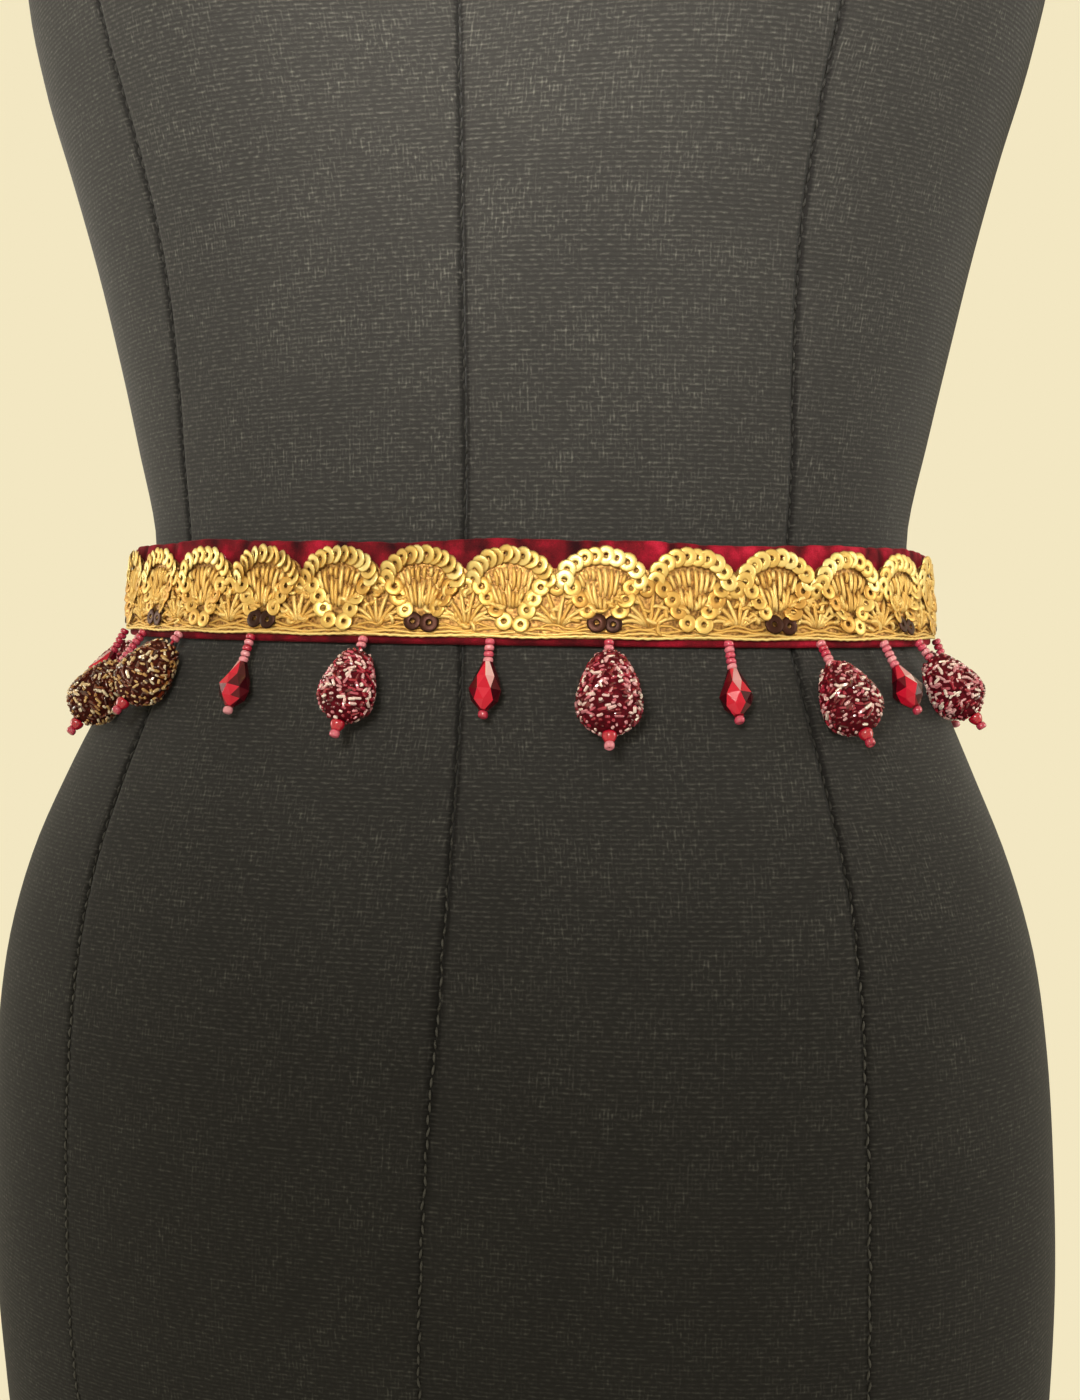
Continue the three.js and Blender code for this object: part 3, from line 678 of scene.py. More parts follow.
def swept(paths, outs, radius, sides):
    """Round threads along many paths at once, half as thick at their ends. outs are the ways out of the
    cloth at the paths' points."""
    paths, outs = np.asarray(paths), np.asarray(outs)
    count, steps = paths.shape[:2]
    ways = unit(np.gradient(paths, axis=1))
    across = unit(np.cross(ways, outs))
    outs = unit(np.cross(across, ways))
    radii = np.full(steps, radius)
    radii[[0, -1]] = radius / 2
    turn = np.linspace(0, 2 * math.pi, sides, endpoint=False)
    ring = (
        across[:, :, None, :] * np.cos(turn)[None, None, :, None]
        + outs[:, :, None, :] * np.sin(turn)[None, None, :, None]
    )
    points = paths[:, :, None, :] + ring * radii[None, :, None, None]
    faces = []
    for k in range(count):
        start = k * steps * sides
        for i in range(steps - 1):
            for j in range(sides):
                n = (j + 1) % sides
                a, b = start + i * sides, start + (i + 1) * sides
                faces.append((a + j, b + j, b + n, a + n))
        faces.append(tuple(start + j for j in range(sides)))
        faces.append(tuple(start + (steps - 1) * sides + j for j in reversed(range(sides))))
    return points.reshape(-1, 3), faces


def round_about(reach, turn, height):
    """Points from their reach from an axis, their turn round it and their height on it."""
    return np.stack([reach * np.cos(turn), reach * np.sin(turn), height], axis=1)


def gathered(parts):
    """Several (points, faces, tones) put together as one."""
    points, faces, tones, start = [], [], [], 0
    for part_points, part_faces, part_tones in parts:
        points.append(part_points)
        faces += [tuple(i + start for i in face) for face in part_faces]
        tones.append(np.broadcast_to(part_tones, len(part_points)))
        start += len(part_points)
    return np.concatenate(points), faces, np.concatenate(tones)


# --------------------------------------------------------------------------------------------------
# The camera: level with the waist, a little to the wearer's left, looking slightly down.
CAMERA = {"round": 12, "away": 550, "height": 276, "down": 3.1, "lens": 42.81, "sensor": 36}
IMAGE = {"width": 1080, "height": 1400}
FORM_LEFT_OF_CENTRE = 15  # of the image's own pixels


def add_camera():
    data = bpy.data.cameras.new("camera")
    data.lens = CAMERA["lens"]
    data.sensor_width = CAMERA["sensor"]
    data.shift_x = FORM_LEFT_OF_CENTRE / IMAGE["height"]
    data.clip_start, data.clip_end = 0.01, 50
    camera = bpy.data.objects.new("camera", data)
    bpy.context.scene.collection.objects.link(camera)
    turn = math.radians(CAMERA["round"])
    camera.location = (
        CAMERA["away"] * MM * math.sin(turn),
        -CAMERA["away"] * MM * math.cos(turn),
        CAMERA["height"] * MM,
    )
    camera.rotation_euler = (math.radians(90 - CAMERA["down"]), 0, turn)
    bpy.context.scene.camera = camera


# --------------------------------------------------------------------------------------------------
# The form's cover, base board and neck cap
def seam_angle(seam, height):
    """The angle of one of the eight seams. They are counted from the centre front to the wearer's left."""
    front, front_shaped, back_shaped = (
        smooth(SEAMS, SEAM_COLUMNS, column, height) for column in SEAM_COLUMNS[1:]
    )
    side, back = math.pi / 2, math.pi
    return [
        front,
        front_shaped,
        side + 0 * height,
        back_shaped,
        back + 0 * height,
        2 * math.pi - back_shaped,
        2 * math.pi - side + 0 * height,
        2 * math.pi - front_shaped,
        2 * math.pi + front,
    ][seam]


def seam_share(height):
    """How much of its full depth a seam has. It is drawn flat over the hips."""
    left = SEAM_SLACK["left"]
    return left + (1 - left) * eased(height, SEAM_SLACK["low"], SEAM_SLACK["high"])


def cover_panel(number):
    """One of the eight long panels of the cover, from a seam to the next."""
    top = FORM_SECTIONS[-1][0]
    rows = int(top / COVER_ROW)
    steps = np.linspace(0, 1, COVER_COLUMNS + 2)[1:-1]
    columns = 2 * len(COVER_EDGE) + COVER_COLUMNS - 1
    made_of = {}

    def place(across, up):
        height = up * top
        low, high = seam_angle(number, height), seam_angle(number + 1, height)
        fine = np.linspace(0, 1, 25)
        run = low[:, None] + (high - low)[:, None] * fine
        lengths = run_of(form_point(run, height[:, None]))
        wide = lengths[:, -1]
        index = np.rint(across * columns).astype(int)
        edge, inner = np.array(COVER_EDGE), COVER_EDGE[-1]
        along = np.where(
            index < len(edge),
            edge[np.minimum(index, len(edge) - 1)],
            np.where(
                index > columns - len(edge),
                wide - edge[np.minimum(columns - index, len(edge) - 1)],
                inner + (wide - 2 * inner) * steps[np.clip(index - len(edge), 0, len(steps) - 1)],
            ),
        )
        angle = np.array([np.interp(a, l, r) for a, l, r in zip(along, lengths, run)])
        near = np.minimum(along, wide - along)
        made_of["fold"] = np.exp(-((near / SEAM_REACH) ** 2)) * seam_share(height)
        out = COVER_OUT - SEAM_DEPTH * made_of["fold"]
        made_of["along"], made_of["wide"] = along, wide
        points = form_point(angle, height) + form_normal(angle, height) * out[:, None]
        points[:, 2] = np.clip(points[:, 2], 0, top)
        return points

    piece, shares = mapped_grid(f"cover_panel_{number + 1}", columns, rows, place)
    heights = np.linspace(0, top, 200)
    middle = (seam_angle(number, heights) + seam_angle(number + 1, heights)) / 2
    run = run_of(form_point(middle, heights))
    up = np.interp(shares[:, 1] * top, heights, run)
    set_cloth_map(piece, made_of["along"] - made_of["wide"] / 2 + PANEL_STEP * number, up)
    # how deep the cloth dips at a seam, which its material also paints as shade
    keep_shade(piece, "fold", made_of["fold"])
    thicken(piece, COVER_THICK)
    shade(piece)
    dress(piece, FORM_CLOTH, "form_cover", "dress_form")


def seam_stitches():
    """The stitches that lie across each seam of the cover."""
    scatter = random.Random(31)
    paths, outs = [], []
    heights = np.arange(6, FORM_SECTIONS[-1][0] - 6, STITCH["pitch"])[:, None]
    ends = np.linspace(-0.5, 0.5, STITCH["points"])
    for seam in range(PANELS):
        shift = np.array([scatter.uniform(-0.3, 0.3) for _ in heights])[:, None]
        lean = np.array([scatter.uniform(-0.6, 0.6) for _ in heights])[:, None]
        up = heights + ends * STITCH["long"]
        angle = seam_angle(seam, up)
        normal = form_normal(angle, up)
        along = unit(np.cross(np.array([0, 0, 1.0]), normal))
        arch = STITCH["lifted"] + STITCH["arched"] * np.cos(ends * math.pi)
        sunk = COVER_OUT - SEAM_DEPTH * seam_share(up) + arch
        aside = along * (shift + lean * ends)[..., None]
        paths.append(form_point(angle, up) + normal * sunk[..., None] + aside)
        outs.append(normal)
    paths = np.concatenate(paths)
    points, faces = swept(paths, np.concatenate(outs), STITCH["radius"], STITCH["sides"])
    # painted shade: near black where the seam is deep and lighter where it is drawn flat, with some chance
    # in it
    seam_depth_shade = [1 - seam_share(path[0, 2]) + scatter.uniform(-0.2, 0.2) for path in paths]
    piece = joined("cover_stitches", points, faces, np.repeat(seam_depth_shade, STITCH["sides"] * len(ends)))
    shade(piece)
    return dress(piece, SEAM_THREAD, "form_cover", "dress_form")


def form_cap(name, height, reach_in, thick, lift):
    """A board that closes the form's foot or its neck, rounded at its edge."""
    deselect()
    bpy.ops.mesh.primitive_circle_add(vertices=96, radius=1, fill_type="NGON")
    piece = just_added(name)
    flat = points_of(piece)
    angle = np.arctan2(flat[:, 0], -flat[:, 1])
    points = form_point(angle, height) - outward(angle, height) * reach_in
    points[:, 2] = lift
    move_points(piece, points * MM)
    thicken(piece, thick, offset=0)
    rounding = piece.modifiers.new("rounding", "BEVEL")
    rounding.width = CAP_ROUNDING * MM
    rounding.segments = 2
    bpy.ops.object.modifier_apply(modifier=rounding.name)
    shade(piece, 40)
    return dress(piece, BOARD, "form_cover", "dress_form")


def make_form():
    top = FORM_SECTIONS[-1][0]
    form_cap("base_board", 0, 1.2, 3, 1.6)
    form_cap("neck_cap", top, 1.2, 2, top - 1.2)
    for number in range(PANELS):
        cover_panel(number)
    seam_stitches()


# --------------------------------------------------------------------------------------------------
# The velvet band
def pucker_table():
    """The velvet's soft creases: where each is along the belt, how wide, how deep, how it leans and how far
    down it runs from the top edge."""
    scatter = random.Random(12)
    step = BELT_ROUND / PUCKERS
    return [
        {
            "at": -BELT_ROUND / 2 + step * (k + scatter.uniform(0.15, 0.85)),
            "wide": scatter.uniform(0.9, 2.3),
            "deep": scatter.uniform(0.35, 1.0) * scatter.choice([1, 1, -0.5]),
            "lean": scatter.uniform(-1.1, 1.1),
            "long": scatter.uniform(5, 12),
        }
        for k in range(PUCKERS)
    ]


def velvet_band():
    """The velvet, turned in at its edges, with its puckers and its painted shading: painted shade in its
    creases and under the border's lower edge, and painted light on its ridges and towards the wearer's
    left.
    """
    start, length = -BELT_ROUND / 2 - LAP / 2, BELT_ROUND + LAP
    soft = BAND_EDGE
    face = [0.12, 0.3, 0.5, 0.7, 0.8, 0.86, 0.91, 0.955]  # the rows up its face, closest where it puckers
    turns = np.linspace(0, math.pi, 7)
    puckers = pucker_table()

    def section(top):
        """The loop of one section, as (up, out), starting at the foot of the inner face."""
        over = (BAND_THICK - 2 * soft) * (turns > 1.5)
        bends = list(zip(soft * np.sin(turns), soft * np.cos(turns), over))
        bottom_edge = [(soft - rise, soft - reach + across) for rise, reach, across in bends]
        outer = [(soft + share * (top - 2 * soft), BAND_THICK) for share in face]
        rim = BAND_THICK - soft
        top_edge = [(top - soft + rise, rim + reach - across) for rise, reach, across in bends]
        inner = [(soft + share * (top - 2 * soft), 0) for share in (0.66, 0.33)]
        return bottom_edge + outer + top_edge + inner

    loop = len(section(BAND_HEIGHT))
    columns = int(length / BAND_STEP)
    state = {}

    def place(across, around):
        at = start + length * across
        state["crease"] = 0 * at
        index = np.rint(around * loop).astype(int) % loop
        top = band_top(at)
        tables = np.array([section(t) for t in (0.0, 1.0)])
        low, rise = tables[0], tables[1] - tables[0]
        up = low[index, 0] + rise[index, 0] * top
        out = low[index, 1]
        showing = np.clip(out / BAND_THICK, 0, 1)
        for pucker in puckers:
            lean_at = pucker["at"] + pucker["lean"] * (top - up) * 0.4
            fade = np.clip((up - (top - pucker["long"])) / pucker["long"], 0, 1) ** 0.8
            ridge = np.exp(-(((at - lean_at) / pucker["wide"]) ** 2))
            out = out - pucker["deep"] * ridge * fade * showing
            # painted shade in the pucker's trough, and painted highlight along it where its depth is below
            # nought, a ridge
            state["crease"] = state["crease"] + pucker["deep"] * ridge * fade
            up = up - 0.35 * pucker["deep"] * ridge * fade * (up > top - 4)
        # painted shadow under the border's lower edge
        border_edge_shadow = np.clip(1 - up / (BORDER_BOTTOM + 0.6), 0, 1) ** 0.5
        # and painted light, growing towards the wearer's left and fading again towards the back
        brushed_and_side_light = eased(at, 20, 110) * (1 - eased(at, 150, 230))
        state["crease"] = state["crease"] + PAINTED_PILE_SHADING["border_edge_shadow"] * border_edge_shadow - PAINTED_PILE_SHADING["brushed_and_side_light"] * brushed_and_side_light
        out = np.minimum(out, BAND_THICK + 0.25)
        return belt_point(at, up, out)

    piece, _ = mapped_grid("velvet_strip", columns, loop, place)
    piece.data.uv_layers[0].name = "cloth"
    keep_shade(piece, "crease", state["crease"])
    bpy.context.view_layer.objects.active = piece
    bpy.ops.object.mode_set(mode="EDIT")
    bpy.ops.mesh.select_all(action="SELECT")
    bpy.ops.mesh.remove_doubles(threshold=0.01 * MM)
    bpy.ops.mesh.fill_holes(sides=0)
    bpy.ops.mesh.select_all(action="SELECT")
    bpy.ops.mesh.normals_make_consistent(inside=False)
    bpy.ops.object.mode_set(mode="OBJECT")
    shade(piece, 60)
    dress(piece, VELVET, "velvet", "velvet_band")
    return piece, (length * MM, BAND_HEIGHT * MM)


# --------------------------------------------------------------------------------------------------
# The border: its ground, its sequins and its gilt threads
def scallop_middles():
    """The middles of all scallops along the belt, and the number of each, counted from the centre front."""
    first = math.ceil((BORDER_START - SCALLOP_START) / SCALLOP_PITCH - 0.5)
    last = math.floor((BORDER_END - SCALLOP_START) / SCALLOP_PITCH - 0.5)
    return [(k, SCALLOP_START + (k + 0.5) * SCALLOP_PITCH) for k in range(first, last + 1)]


def border_ground():
    """The net that the border is worked on, cut to its scallops."""
    length = BORDER_END - BORDER_START
    state = {}

    def place(across, up):
        at = BORDER_START + length * across
        top = border_top(at) - GROUND_SHORT
        state["at"], state["up"] = at, up * top
        return belt_point(at, BORDER_BOTTOM + up * top, BORDER_BACK + GROUND_THICK)

    piece, _ = mapped_grid("border_ground", int(length / GROUND_STEP), GROUND_ROWS, place)
    set_cloth_map(piece, state["at"], state["up"])
    area = sum(face.area for face in piece.data.polygons)
    thicken(piece, GROUND_THICK)
    shade(piece, 50)
    dress(piece, GROUND, "gold_trim", "sequin_border")
    return piece, (length * MM, BORDER_PEAK * MM), area


def sequin_shape():
    """A shallow dome with a small hole: a ring whose section is drawn to the sequin's own outline."""
    ring, corners = 1.5, len(SEQUIN)
    points, faces = pattern_of(
        bpy.ops.mesh.primitive_torus_add,
        major_radius=ring,
        minor_radius=1,
        major_segments=SEQUIN_SIDES,
        minor_segments=corners,
    )
    turn = np.arctan2(points[:, 1], points[:, 0])
    reach = np.hypot(points[:, 0], points[:, 1])
    lap = np.arctan2(points[:, 2], reach - ring)
    step = 2 * math.pi / corners
    corner = np.rint((step * (corners // 2) - lap) / step).astype(int) % corners
    reach, height = np.array(SEQUIN)[corner].T
    return round_about(reach, turn, height), faces


# The places of a scallop's sequins, from its middle and up from the border's bottom. Those of its legs also
# have the turn, from straight up, of the way that they tip.
LEG = [(7.9, 13.6, 35), (6.1, 10.6, 40), (4.2, 7.5, 50)]
BOTTOM_PAIR = [(-2.1, 4.3), (2.4, 3.9)]
BETWEEN = (-12.2, 13.6)
ARCH = {"half": 10.0, "rise": 7.2, "foot": 15.2}
LAPPED = {"count": 12, "tip": 24}  # the arches whose sequins lie over each other like scales
LYING = {"count": 10, "tip": 9}  # and those in which they lie flat, with their holes showing
# How far out each kind of sequin sits, and the tone that it has before some chance is added.
SEQUIN_OUT = {"arch": 1.2, "leg": 1.15, "pair": 1.45, "between": 0.85}
SEQUIN_TONE = {"arch": 0.75, "leg": 0.4, "pair": 0.45, "between": 0.35}
SEQUIN_LOOSE = 0.25  # how far it may be from its place


def arch_places(count):
    """Places along the arch of a scallop, at even steps."""
    turn = np.linspace(math.pi * 0.98, math.pi * 0.02, 200)
    line = np.stack([ARCH["half"] * np.cos(turn), ARCH["foot"] + ARCH["rise"] * np.sin(turn)], axis=1)
    run = run_of(line)
    even = np.linspace(0, run[-1], count)
    return [(np.interp(d, run, line[:, 0]), np.interp(d, run, line[:, 1])) for d in even]


def turned_axes(along, rise, out, spin, tip, tip_way):
    """Axes of small flat things on the belt: spun in the cloth's plane, then tipped towards one side."""
    spin, tip_way = np.radians(spin), np.radians(tip_way)
    u = along * np.cos(spin)[:, None] + rise * np.sin(spin)[:, None]
    lean = along * np.cos(tip_way)[:, None] + rise * np.sin(tip_way)[:, None]
    tip = np.radians(tip)[:, None]
    normal = unit(out * np.cos(tip) + lean * np.sin(tip))
    u = unit(u - normal * np.sum(u * normal, axis=1, keepdims=True))
    v = np.cross(normal, u)
    return np.stack([u, v, normal], axis=1)


def sequin_rows():
    """Every sequin's place along, up and out, its spin, its tip and which way that is, its tone and its
    size. The brown ones come apart from the gold ones."""
    scatter = random.Random(5)
    gold, dark = [], []
    for number, middle in scallop_middles():
        row = []
        way_of_lying = LAPPED if -4 < number < 1 else LYING
        arch = arch_places(way_of_lying["count"])
        for i, (aside, up) in enumerate(arch):
            slope = i / (len(arch) - 1) * 2 - 1
            row.append(("arch", aside, up, way_of_lying["tip"], 180 - 50 * slope))
        for sign in (-1, 1):
            for aside, up, turn in LEG:
                row.append(("leg", sign * aside, up, scatter.uniform(4, 26), 90 + sign * turn))
        row.append(("between", *BETWEEN, 10, 250))
        row += [("pair", aside, up, 8, 90) for aside, up in BOTTOM_PAIR]
        for kind, aside, up, tip, way in row:
            at = middle + aside + scatter.uniform(-SEQUIN_LOOSE, SEQUIN_LOOSE)
            if not BORDER_START + 2 < at < BORDER_END - 2:
                continue
            entry = (
                at,
                BORDER_BOTTOM + up + scatter.uniform(-SEQUIN_LOOSE, SEQUIN_LOOSE),
                BORDER_BACK + SEQUIN_OUT[kind] + scatter.uniform(-0.08, 0.12),
                scatter.uniform(0, 360),
                tip + scatter.uniform(-6, 6),
                way + scatter.uniform(-30, 30),
                min(1, max(0, SEQUIN_TONE[kind] + scatter.uniform(-0.3, 0.25))),
                scatter.uniform(0.94, 1.08),
            )
            (dark if kind == "pair" and number % 2 else gold).append(entry)
    return gold, dark


def sequins():
    points, faces = sequin_shape()
    made = []
    finishes = {"gold_sequins": GOLD_FILM, "brown_sequins": BROWN_FILM}
    for (name, finish), rows in zip(finishes.items(), sequin_rows()):
        at, up, out, spin, tip, way, tone, size = np.array(rows).T
        axes = turned_axes(*belt_axes(at, up), spin, tip, way) * size[:, None, None]
        all_points, all_faces = repeated(points, faces, belt_point(at, up, out), axes)
        piece = joined(name, all_points, all_faces, np.repeat(tone, len(points)))
        shade(piece)
        dress(piece, finish, "gold_trim", "sequin_border")
        made.append(piece)
    return made


def thread_path(at, up, out):
    """The points of threads on the belt, and the ways out of the cloth beneath them."""
    return belt_point(at, up, out), belt_axes(at, up)[2]


# The couched lines along the border's bottom: their height and radius, how far out they are, the length and
# height of their waves, and their tone.
COUCHED = [
    (0.42, 0.42, 0.35, 31, 0.2, 0.95),
    (1.25, 0.4, 0.3, 17, 0.3, 0.7),
    (2.15, 0.42, 0.25, 13, 0.42, 0.5),
    (3.1, 0.4, 0.2, 10, 0.6, 0.4),
]
THREAD = {"radius": 0.6, "steps": 6, "sides": 5}
BARS = {"count": 8, "foot": 7.6, "head": 19.4, "wide": 3.2, "parting": 0.4}
FAN = {"count": 8, "foot": 3.2, "long": 10.0, "wide": 1.8, "lean": 0.75}
CURLS = {"count": 24, "foot": 4.2, "head": 9.0, "clear_wide": 5.5, "clear_up": 8}


def scallop_threads(middle, scatter):
    """The gilt threads of one scallop and of the space beside it, each as (along, up, out, tone)."""
    steps = np.linspace(0, 1, THREAD["steps"])
    arc = np.sin(steps * math.pi)
    threads = []
    # the satin bars between the scallop's legs, each laid in two lengths
    for share in np.linspace(-1, 1, BARS["count"]):
        foot, head = BARS["foot"] + 1.2 * abs(share), BARS["head"] - 1.6 * share**2
        cut = scatter.uniform(foot + 2.5, head - 2.5)
        for low, high in ((foot, cut), (cut, head)):
            up = low + (high - low - BARS["parting"]) * steps
            aside = share * BARS["wide"] * (1 + (up - foot) / (head - foot))
            wave = scatter.uniform(-0.4, 0.4) * arc
            threads.append((middle + aside + wave, up, 0.1 + 0.5 * arc, scatter.uniform(0.3, 0.9)))
    # the upturned fan in the space beside the scallop, whose threads curl over at their ends
    for share in np.linspace(-1, 1, FAN["count"]) + scatter.uniform(-0.08, 0.08):
        long = FAN["long"] - 2.4 * abs(share) + scatter.uniform(-1.4, 1.2)
        lean = share * FAN["lean"] * (1 + steps)
        curl = scatter.uniform(-0.7, 0.7) * steps**2
        at = middle + SCALLOP_PITCH / 2 + share * FAN["wide"] + np.sin(lean) * long * steps + curl
        up = FAN["foot"] + abs(share) * 0.5 + np.cos(lean) * long * steps
        threads.append((at, up, 0.12 + 0.45 * arc, scatter.uniform(0.3, 0.85)))
    # short curls that fill the places between
    for _ in range(CURLS["count"]):
        aside = scatter.uniform(-SCALLOP_PITCH / 2, SCALLOP_PITCH / 2)
        height = scatter.uniform(CURLS["foot"], CURLS["head"] + 5.0 * abs(aside) / 12)
        if abs(aside) < CURLS["clear_wide"] and height < CURLS["clear_up"]:
            continue
        long = scatter.uniform(2.6, 4.8)
        spin = scatter.gauss(math.copysign(0.5, aside), 0.8)
        bend = scatter.choice([-1, 1]) * scatter.uniform(0.8, 2.8)
        turn = spin + bend * (steps - 0.5)
        at = middle + aside + np.cumsum(np.cos(turn)) * long / THREAD["steps"] - long / 2
        up = height + np.cumsum(np.sin(turn)) * long / THREAD["steps"]
        threads.append((at, up, 0.3 + 0.55 * arc, scatter.uniform(0.35, 0.95)))
    return threads


def gilt_threads():
    """Every thread of gilt wire that is stitched to the border's ground."""
    scatter = random.Random(8)
    base = BORDER_BACK + GROUND_THICK
    first, last = BORDER_START + 1, BORDER_END - 1
    threads = [thread for _, middle in scallop_middles() for thread in scallop_threads(middle, scatter)]
    threads = [thread for thread in threads if first < thread[0].min() and thread[0].max() < last]
    at, up, out = (np.array([thread[column] for thread in threads]) for column in range(3))
    tones = [thread[3] for thread in threads]
    up = BORDER_BOTTOM + np.clip(up, 0.8, border_top(at) - 1.2)
    points, faces = swept(*thread_path(at, up, base + out), THREAD["radius"], THREAD["sides"])
    parts = [(points, faces, np.repeat(tones, THREAD["steps"] * THREAD["sides"]))]
    at = np.linspace(BORDER_START + 0.5, BORDER_END - 0.5, 560)[None, :]
    for height, radius, out, wave_long, wave_high, tone in COUCHED:
        wave = wave_high * np.sin(2 * math.pi * at / wave_long + height)
        up = BORDER_BOTTOM + height + (wave + 0.12 * np.sin(at * 2.1 + height))
        points, faces = swept(*thread_path(at, up, base + out), radius, 6)
        parts.append((points, faces, tone))
    piece = joined("zari_threads", *gathered(parts))
    shade(piece)
    return dress(piece, ZARI, "gold_trim", "sequin_border")


WHISKERS = {"count": 34, "radius": 0.13, "tone": 0.8}


def silk_whiskers():
    """Loose ends of the pink silk that the sequins are sewn on with, which stand up from the arches."""
    scatter = random.Random(21)
    steps = np.linspace(0, 1, 5)
    limits = ((BORDER_START + 4, BORDER_END - 4), (1.0, 2.6), (-1.2, 1.2))
    roots = [[scatter.uniform(*pair) for pair in limits] for _ in range(WHISKERS["count"])]
    root, long, lean = (column[:, None] for column in np.array(roots).T)
    at = root + lean * long * steps + 0.4 * np.sin(steps * 5)
    up = BORDER_BOTTOM + border_top(root) - 0.8 + long * 0.7 * steps
    out = BORDER_BACK + 1.1 - 0.7 * steps
    points, faces = swept(*thread_path(at, up, out), WHISKERS["radius"], 4)
    piece = joined("silk_whiskers", points, faces, np.full(len(points), WHISKERS["tone"]))
    shade(piece)
    return dress(piece, PINK_SILK, "gold_trim", "sequin_border")


# --------------------------------------------------------------------------------------------------
# The fringe
def drop_line(node):
    """Where a drop's thread starts, which way it hangs, how long it is in millimetres, and its own axes."""
    corners = np.array([vertex.co for vertex in NODES[node].data.vertices]) / MM
    points = np.unique(np.round(corners, 3), axis=0)
    middle = points.mean(axis=0)
    down = np.linalg.svd(points - middle)[2][0]
    down = down * -np.sign(down[2])
    along = (points - middle) @ down
    top = middle + down * along.min()
    side = unit(np.cross([top[0], top[1], 0.0], -down))
    front = np.cross(-down, side)
    return {"top": top, "down": down, "long": np.ptp(along), "axes": np.stack([side, front, -down])}


def body_reach(node, line):
    """Where a drop's body starts and ends along its thread, and its largest radius."""
    corners = np.array([vertex.co for vertex in NODES[node].data.vertices]) / MM - line["top"]
    along = corners @ line["down"]
    away = np.linalg.norm(corners - along[:, None] * line["down"], axis=1)
    return along.min(), along.max(), away.max()


def in_place(points, line):
    return points @ line["axes"] + line["top"]


def profile_radius(profile, share):
    return smooth(profile, ("along", "reach"), "reach", share)


def closed_reach(profile, share):
    """A profile's reach, drawn together to a point at both of its ends."""
    return profile_radius(profile, share) * ((share > 0.001) & (share < 0.999))


def ball_places(points):
    """How far down a ball its points are, as shares of the way from pole to pole, and their turns."""
    share = np.arccos(np.clip(points[:, 2], -1, 1)) / math.pi
    return share, np.arctan2(points[:, 1], points[:, 0])


def bead_shape():
    """A short glass bugle bead with softened ends: a cylinder one unit long, bevelled."""
    sides = 6
    points, _ = pattern_of(bpy.ops.mesh.primitive_cylinder_add, vertices=sides, radius=1, depth=1)
    upper = points[points[:, 2] > 0][:, :2]
    upper = upper[np.argsort(np.arctan2(upper[:, 1], upper[:, 0]))]
    rows = [(-0.5, 0.55), (-0.36, 1.0), (0.36, 1.0), (0.5, 0.55)]
    shaped = np.concatenate([np.column_stack([upper * reach, np.full(sides, z)]) for z, reach in rows])
    bands = []
    for start in range(0, sides * (len(rows) - 1), sides):
        for j in range(sides):
            n = (j + 1) % sides
            bands.append((start + j, start + n, start + sides + n, start + sides + j))
    lid = sides * (len(rows) - 1)
    return shaped, bands + [tuple(reversed(range(sides))), tuple(range(lid, lid + sides))]


def berry(node, bead_finish, core_finish, seed):
    """A ball wound with beads that lie every way, over its silk core."""
    line = drop_line(f"{node}_beads")
    start, end, radius = body_reach(node, line)
    high = end - start
    deselect()
    bpy.ops.mesh.primitive_uv_sphere_add(segments=28, ring_count=18, radius=1)
    core = just_added(f"{node}_core")
    share, turn = ball_places(points_of(core))
    reach = (radius - BERRY_WALL) * closed_reach(BERRY_PROFILE, share)
    move_points(core, in_place(round_about(reach, turn, -start - high * share), line) * MM)
    shade(core)
    dress(core, core_finish, "berry_beads", node)

    scatter = np.random.default_rng(seed)
    shares = np.linspace(BERRY_BORE, 1 - BERRY_BORE, 400)
    rim = profile_radius(BERRY_PROFILE, shares)
    skin = np.concatenate([[0], np.cumsum((rim[1:] + rim[:-1]) / 2)])
    count = int(BEADS_ROUND_BERRY * (radius / BERRY_RADIUS) ** 2)
    order = np.arange(count)
    share = np.interp((order + scatter.uniform(0.1, 0.9, count)) / count * skin[-1], skin, shares)
    turn = order * GOLDEN_ANGLE + scatter.uniform(-0.18, 0.18, count)
    reach = radius * profile_radius(BERRY_PROFILE, share)
    near = 0.01
    steep = profile_radius(BERRY_PROFILE, share + near) - profile_radius(BERRY_PROFILE, share - near)
    steep *= radius / (2 * near * high)
    level = np.zeros(count)
    out_way = np.stack([np.cos(turn), np.sin(turn), level], axis=1)
    round_way = np.stack([-np.sin(turn), np.cos(turn), level], axis=1)
    normal = unit(out_way + np.stack([level, level, steep], axis=1))
    rise = np.cross(normal, round_way)
    lying = scatter.random(count) < 0.2 + 0.45 * (share > 0.62)
    spin = np.where(lying, scatter.normal(0, 0.25, count), scatter.uniform(0, math.pi, count))[:, None]
    way = round_way * np.cos(spin) + rise * np.sin(spin)
    long = scatter.uniform(0.9, 2.7, count) * np.where((share < 0.1) | (share > 0.9), 0.6, 1)
    places = out_way * (reach - 0.5)[:, None] - np.stack([level, level, start + high * share], axis=1)
    thick = BEAD_RADIUS * scatter.uniform(0.8, 1.15, count)
    aside, thick = np.cross(normal, way), thick[:, None]
    axes = np.stack([aside * thick, normal * thick, way * long[:, None]], axis=1)
    # Half the beads are dark, and the other half take the pale tones that paint the reflection of their
    # lining.
    dark = scatter.random(count) < 0.5
    tones = np.where(dark, scatter.uniform(0, 0.45, count), scatter.uniform(0.5, 1, count))
    shape, faces = bead_shape()
    points, all_faces = repeated(shape, faces, places, axes)
    beads = joined(f"{node}_wound", in_place(points, line), all_faces, np.repeat(tones, len(shape)))
    shade(beads, 50)
    return dress(beads, bead_finish, "berry_beads", node)


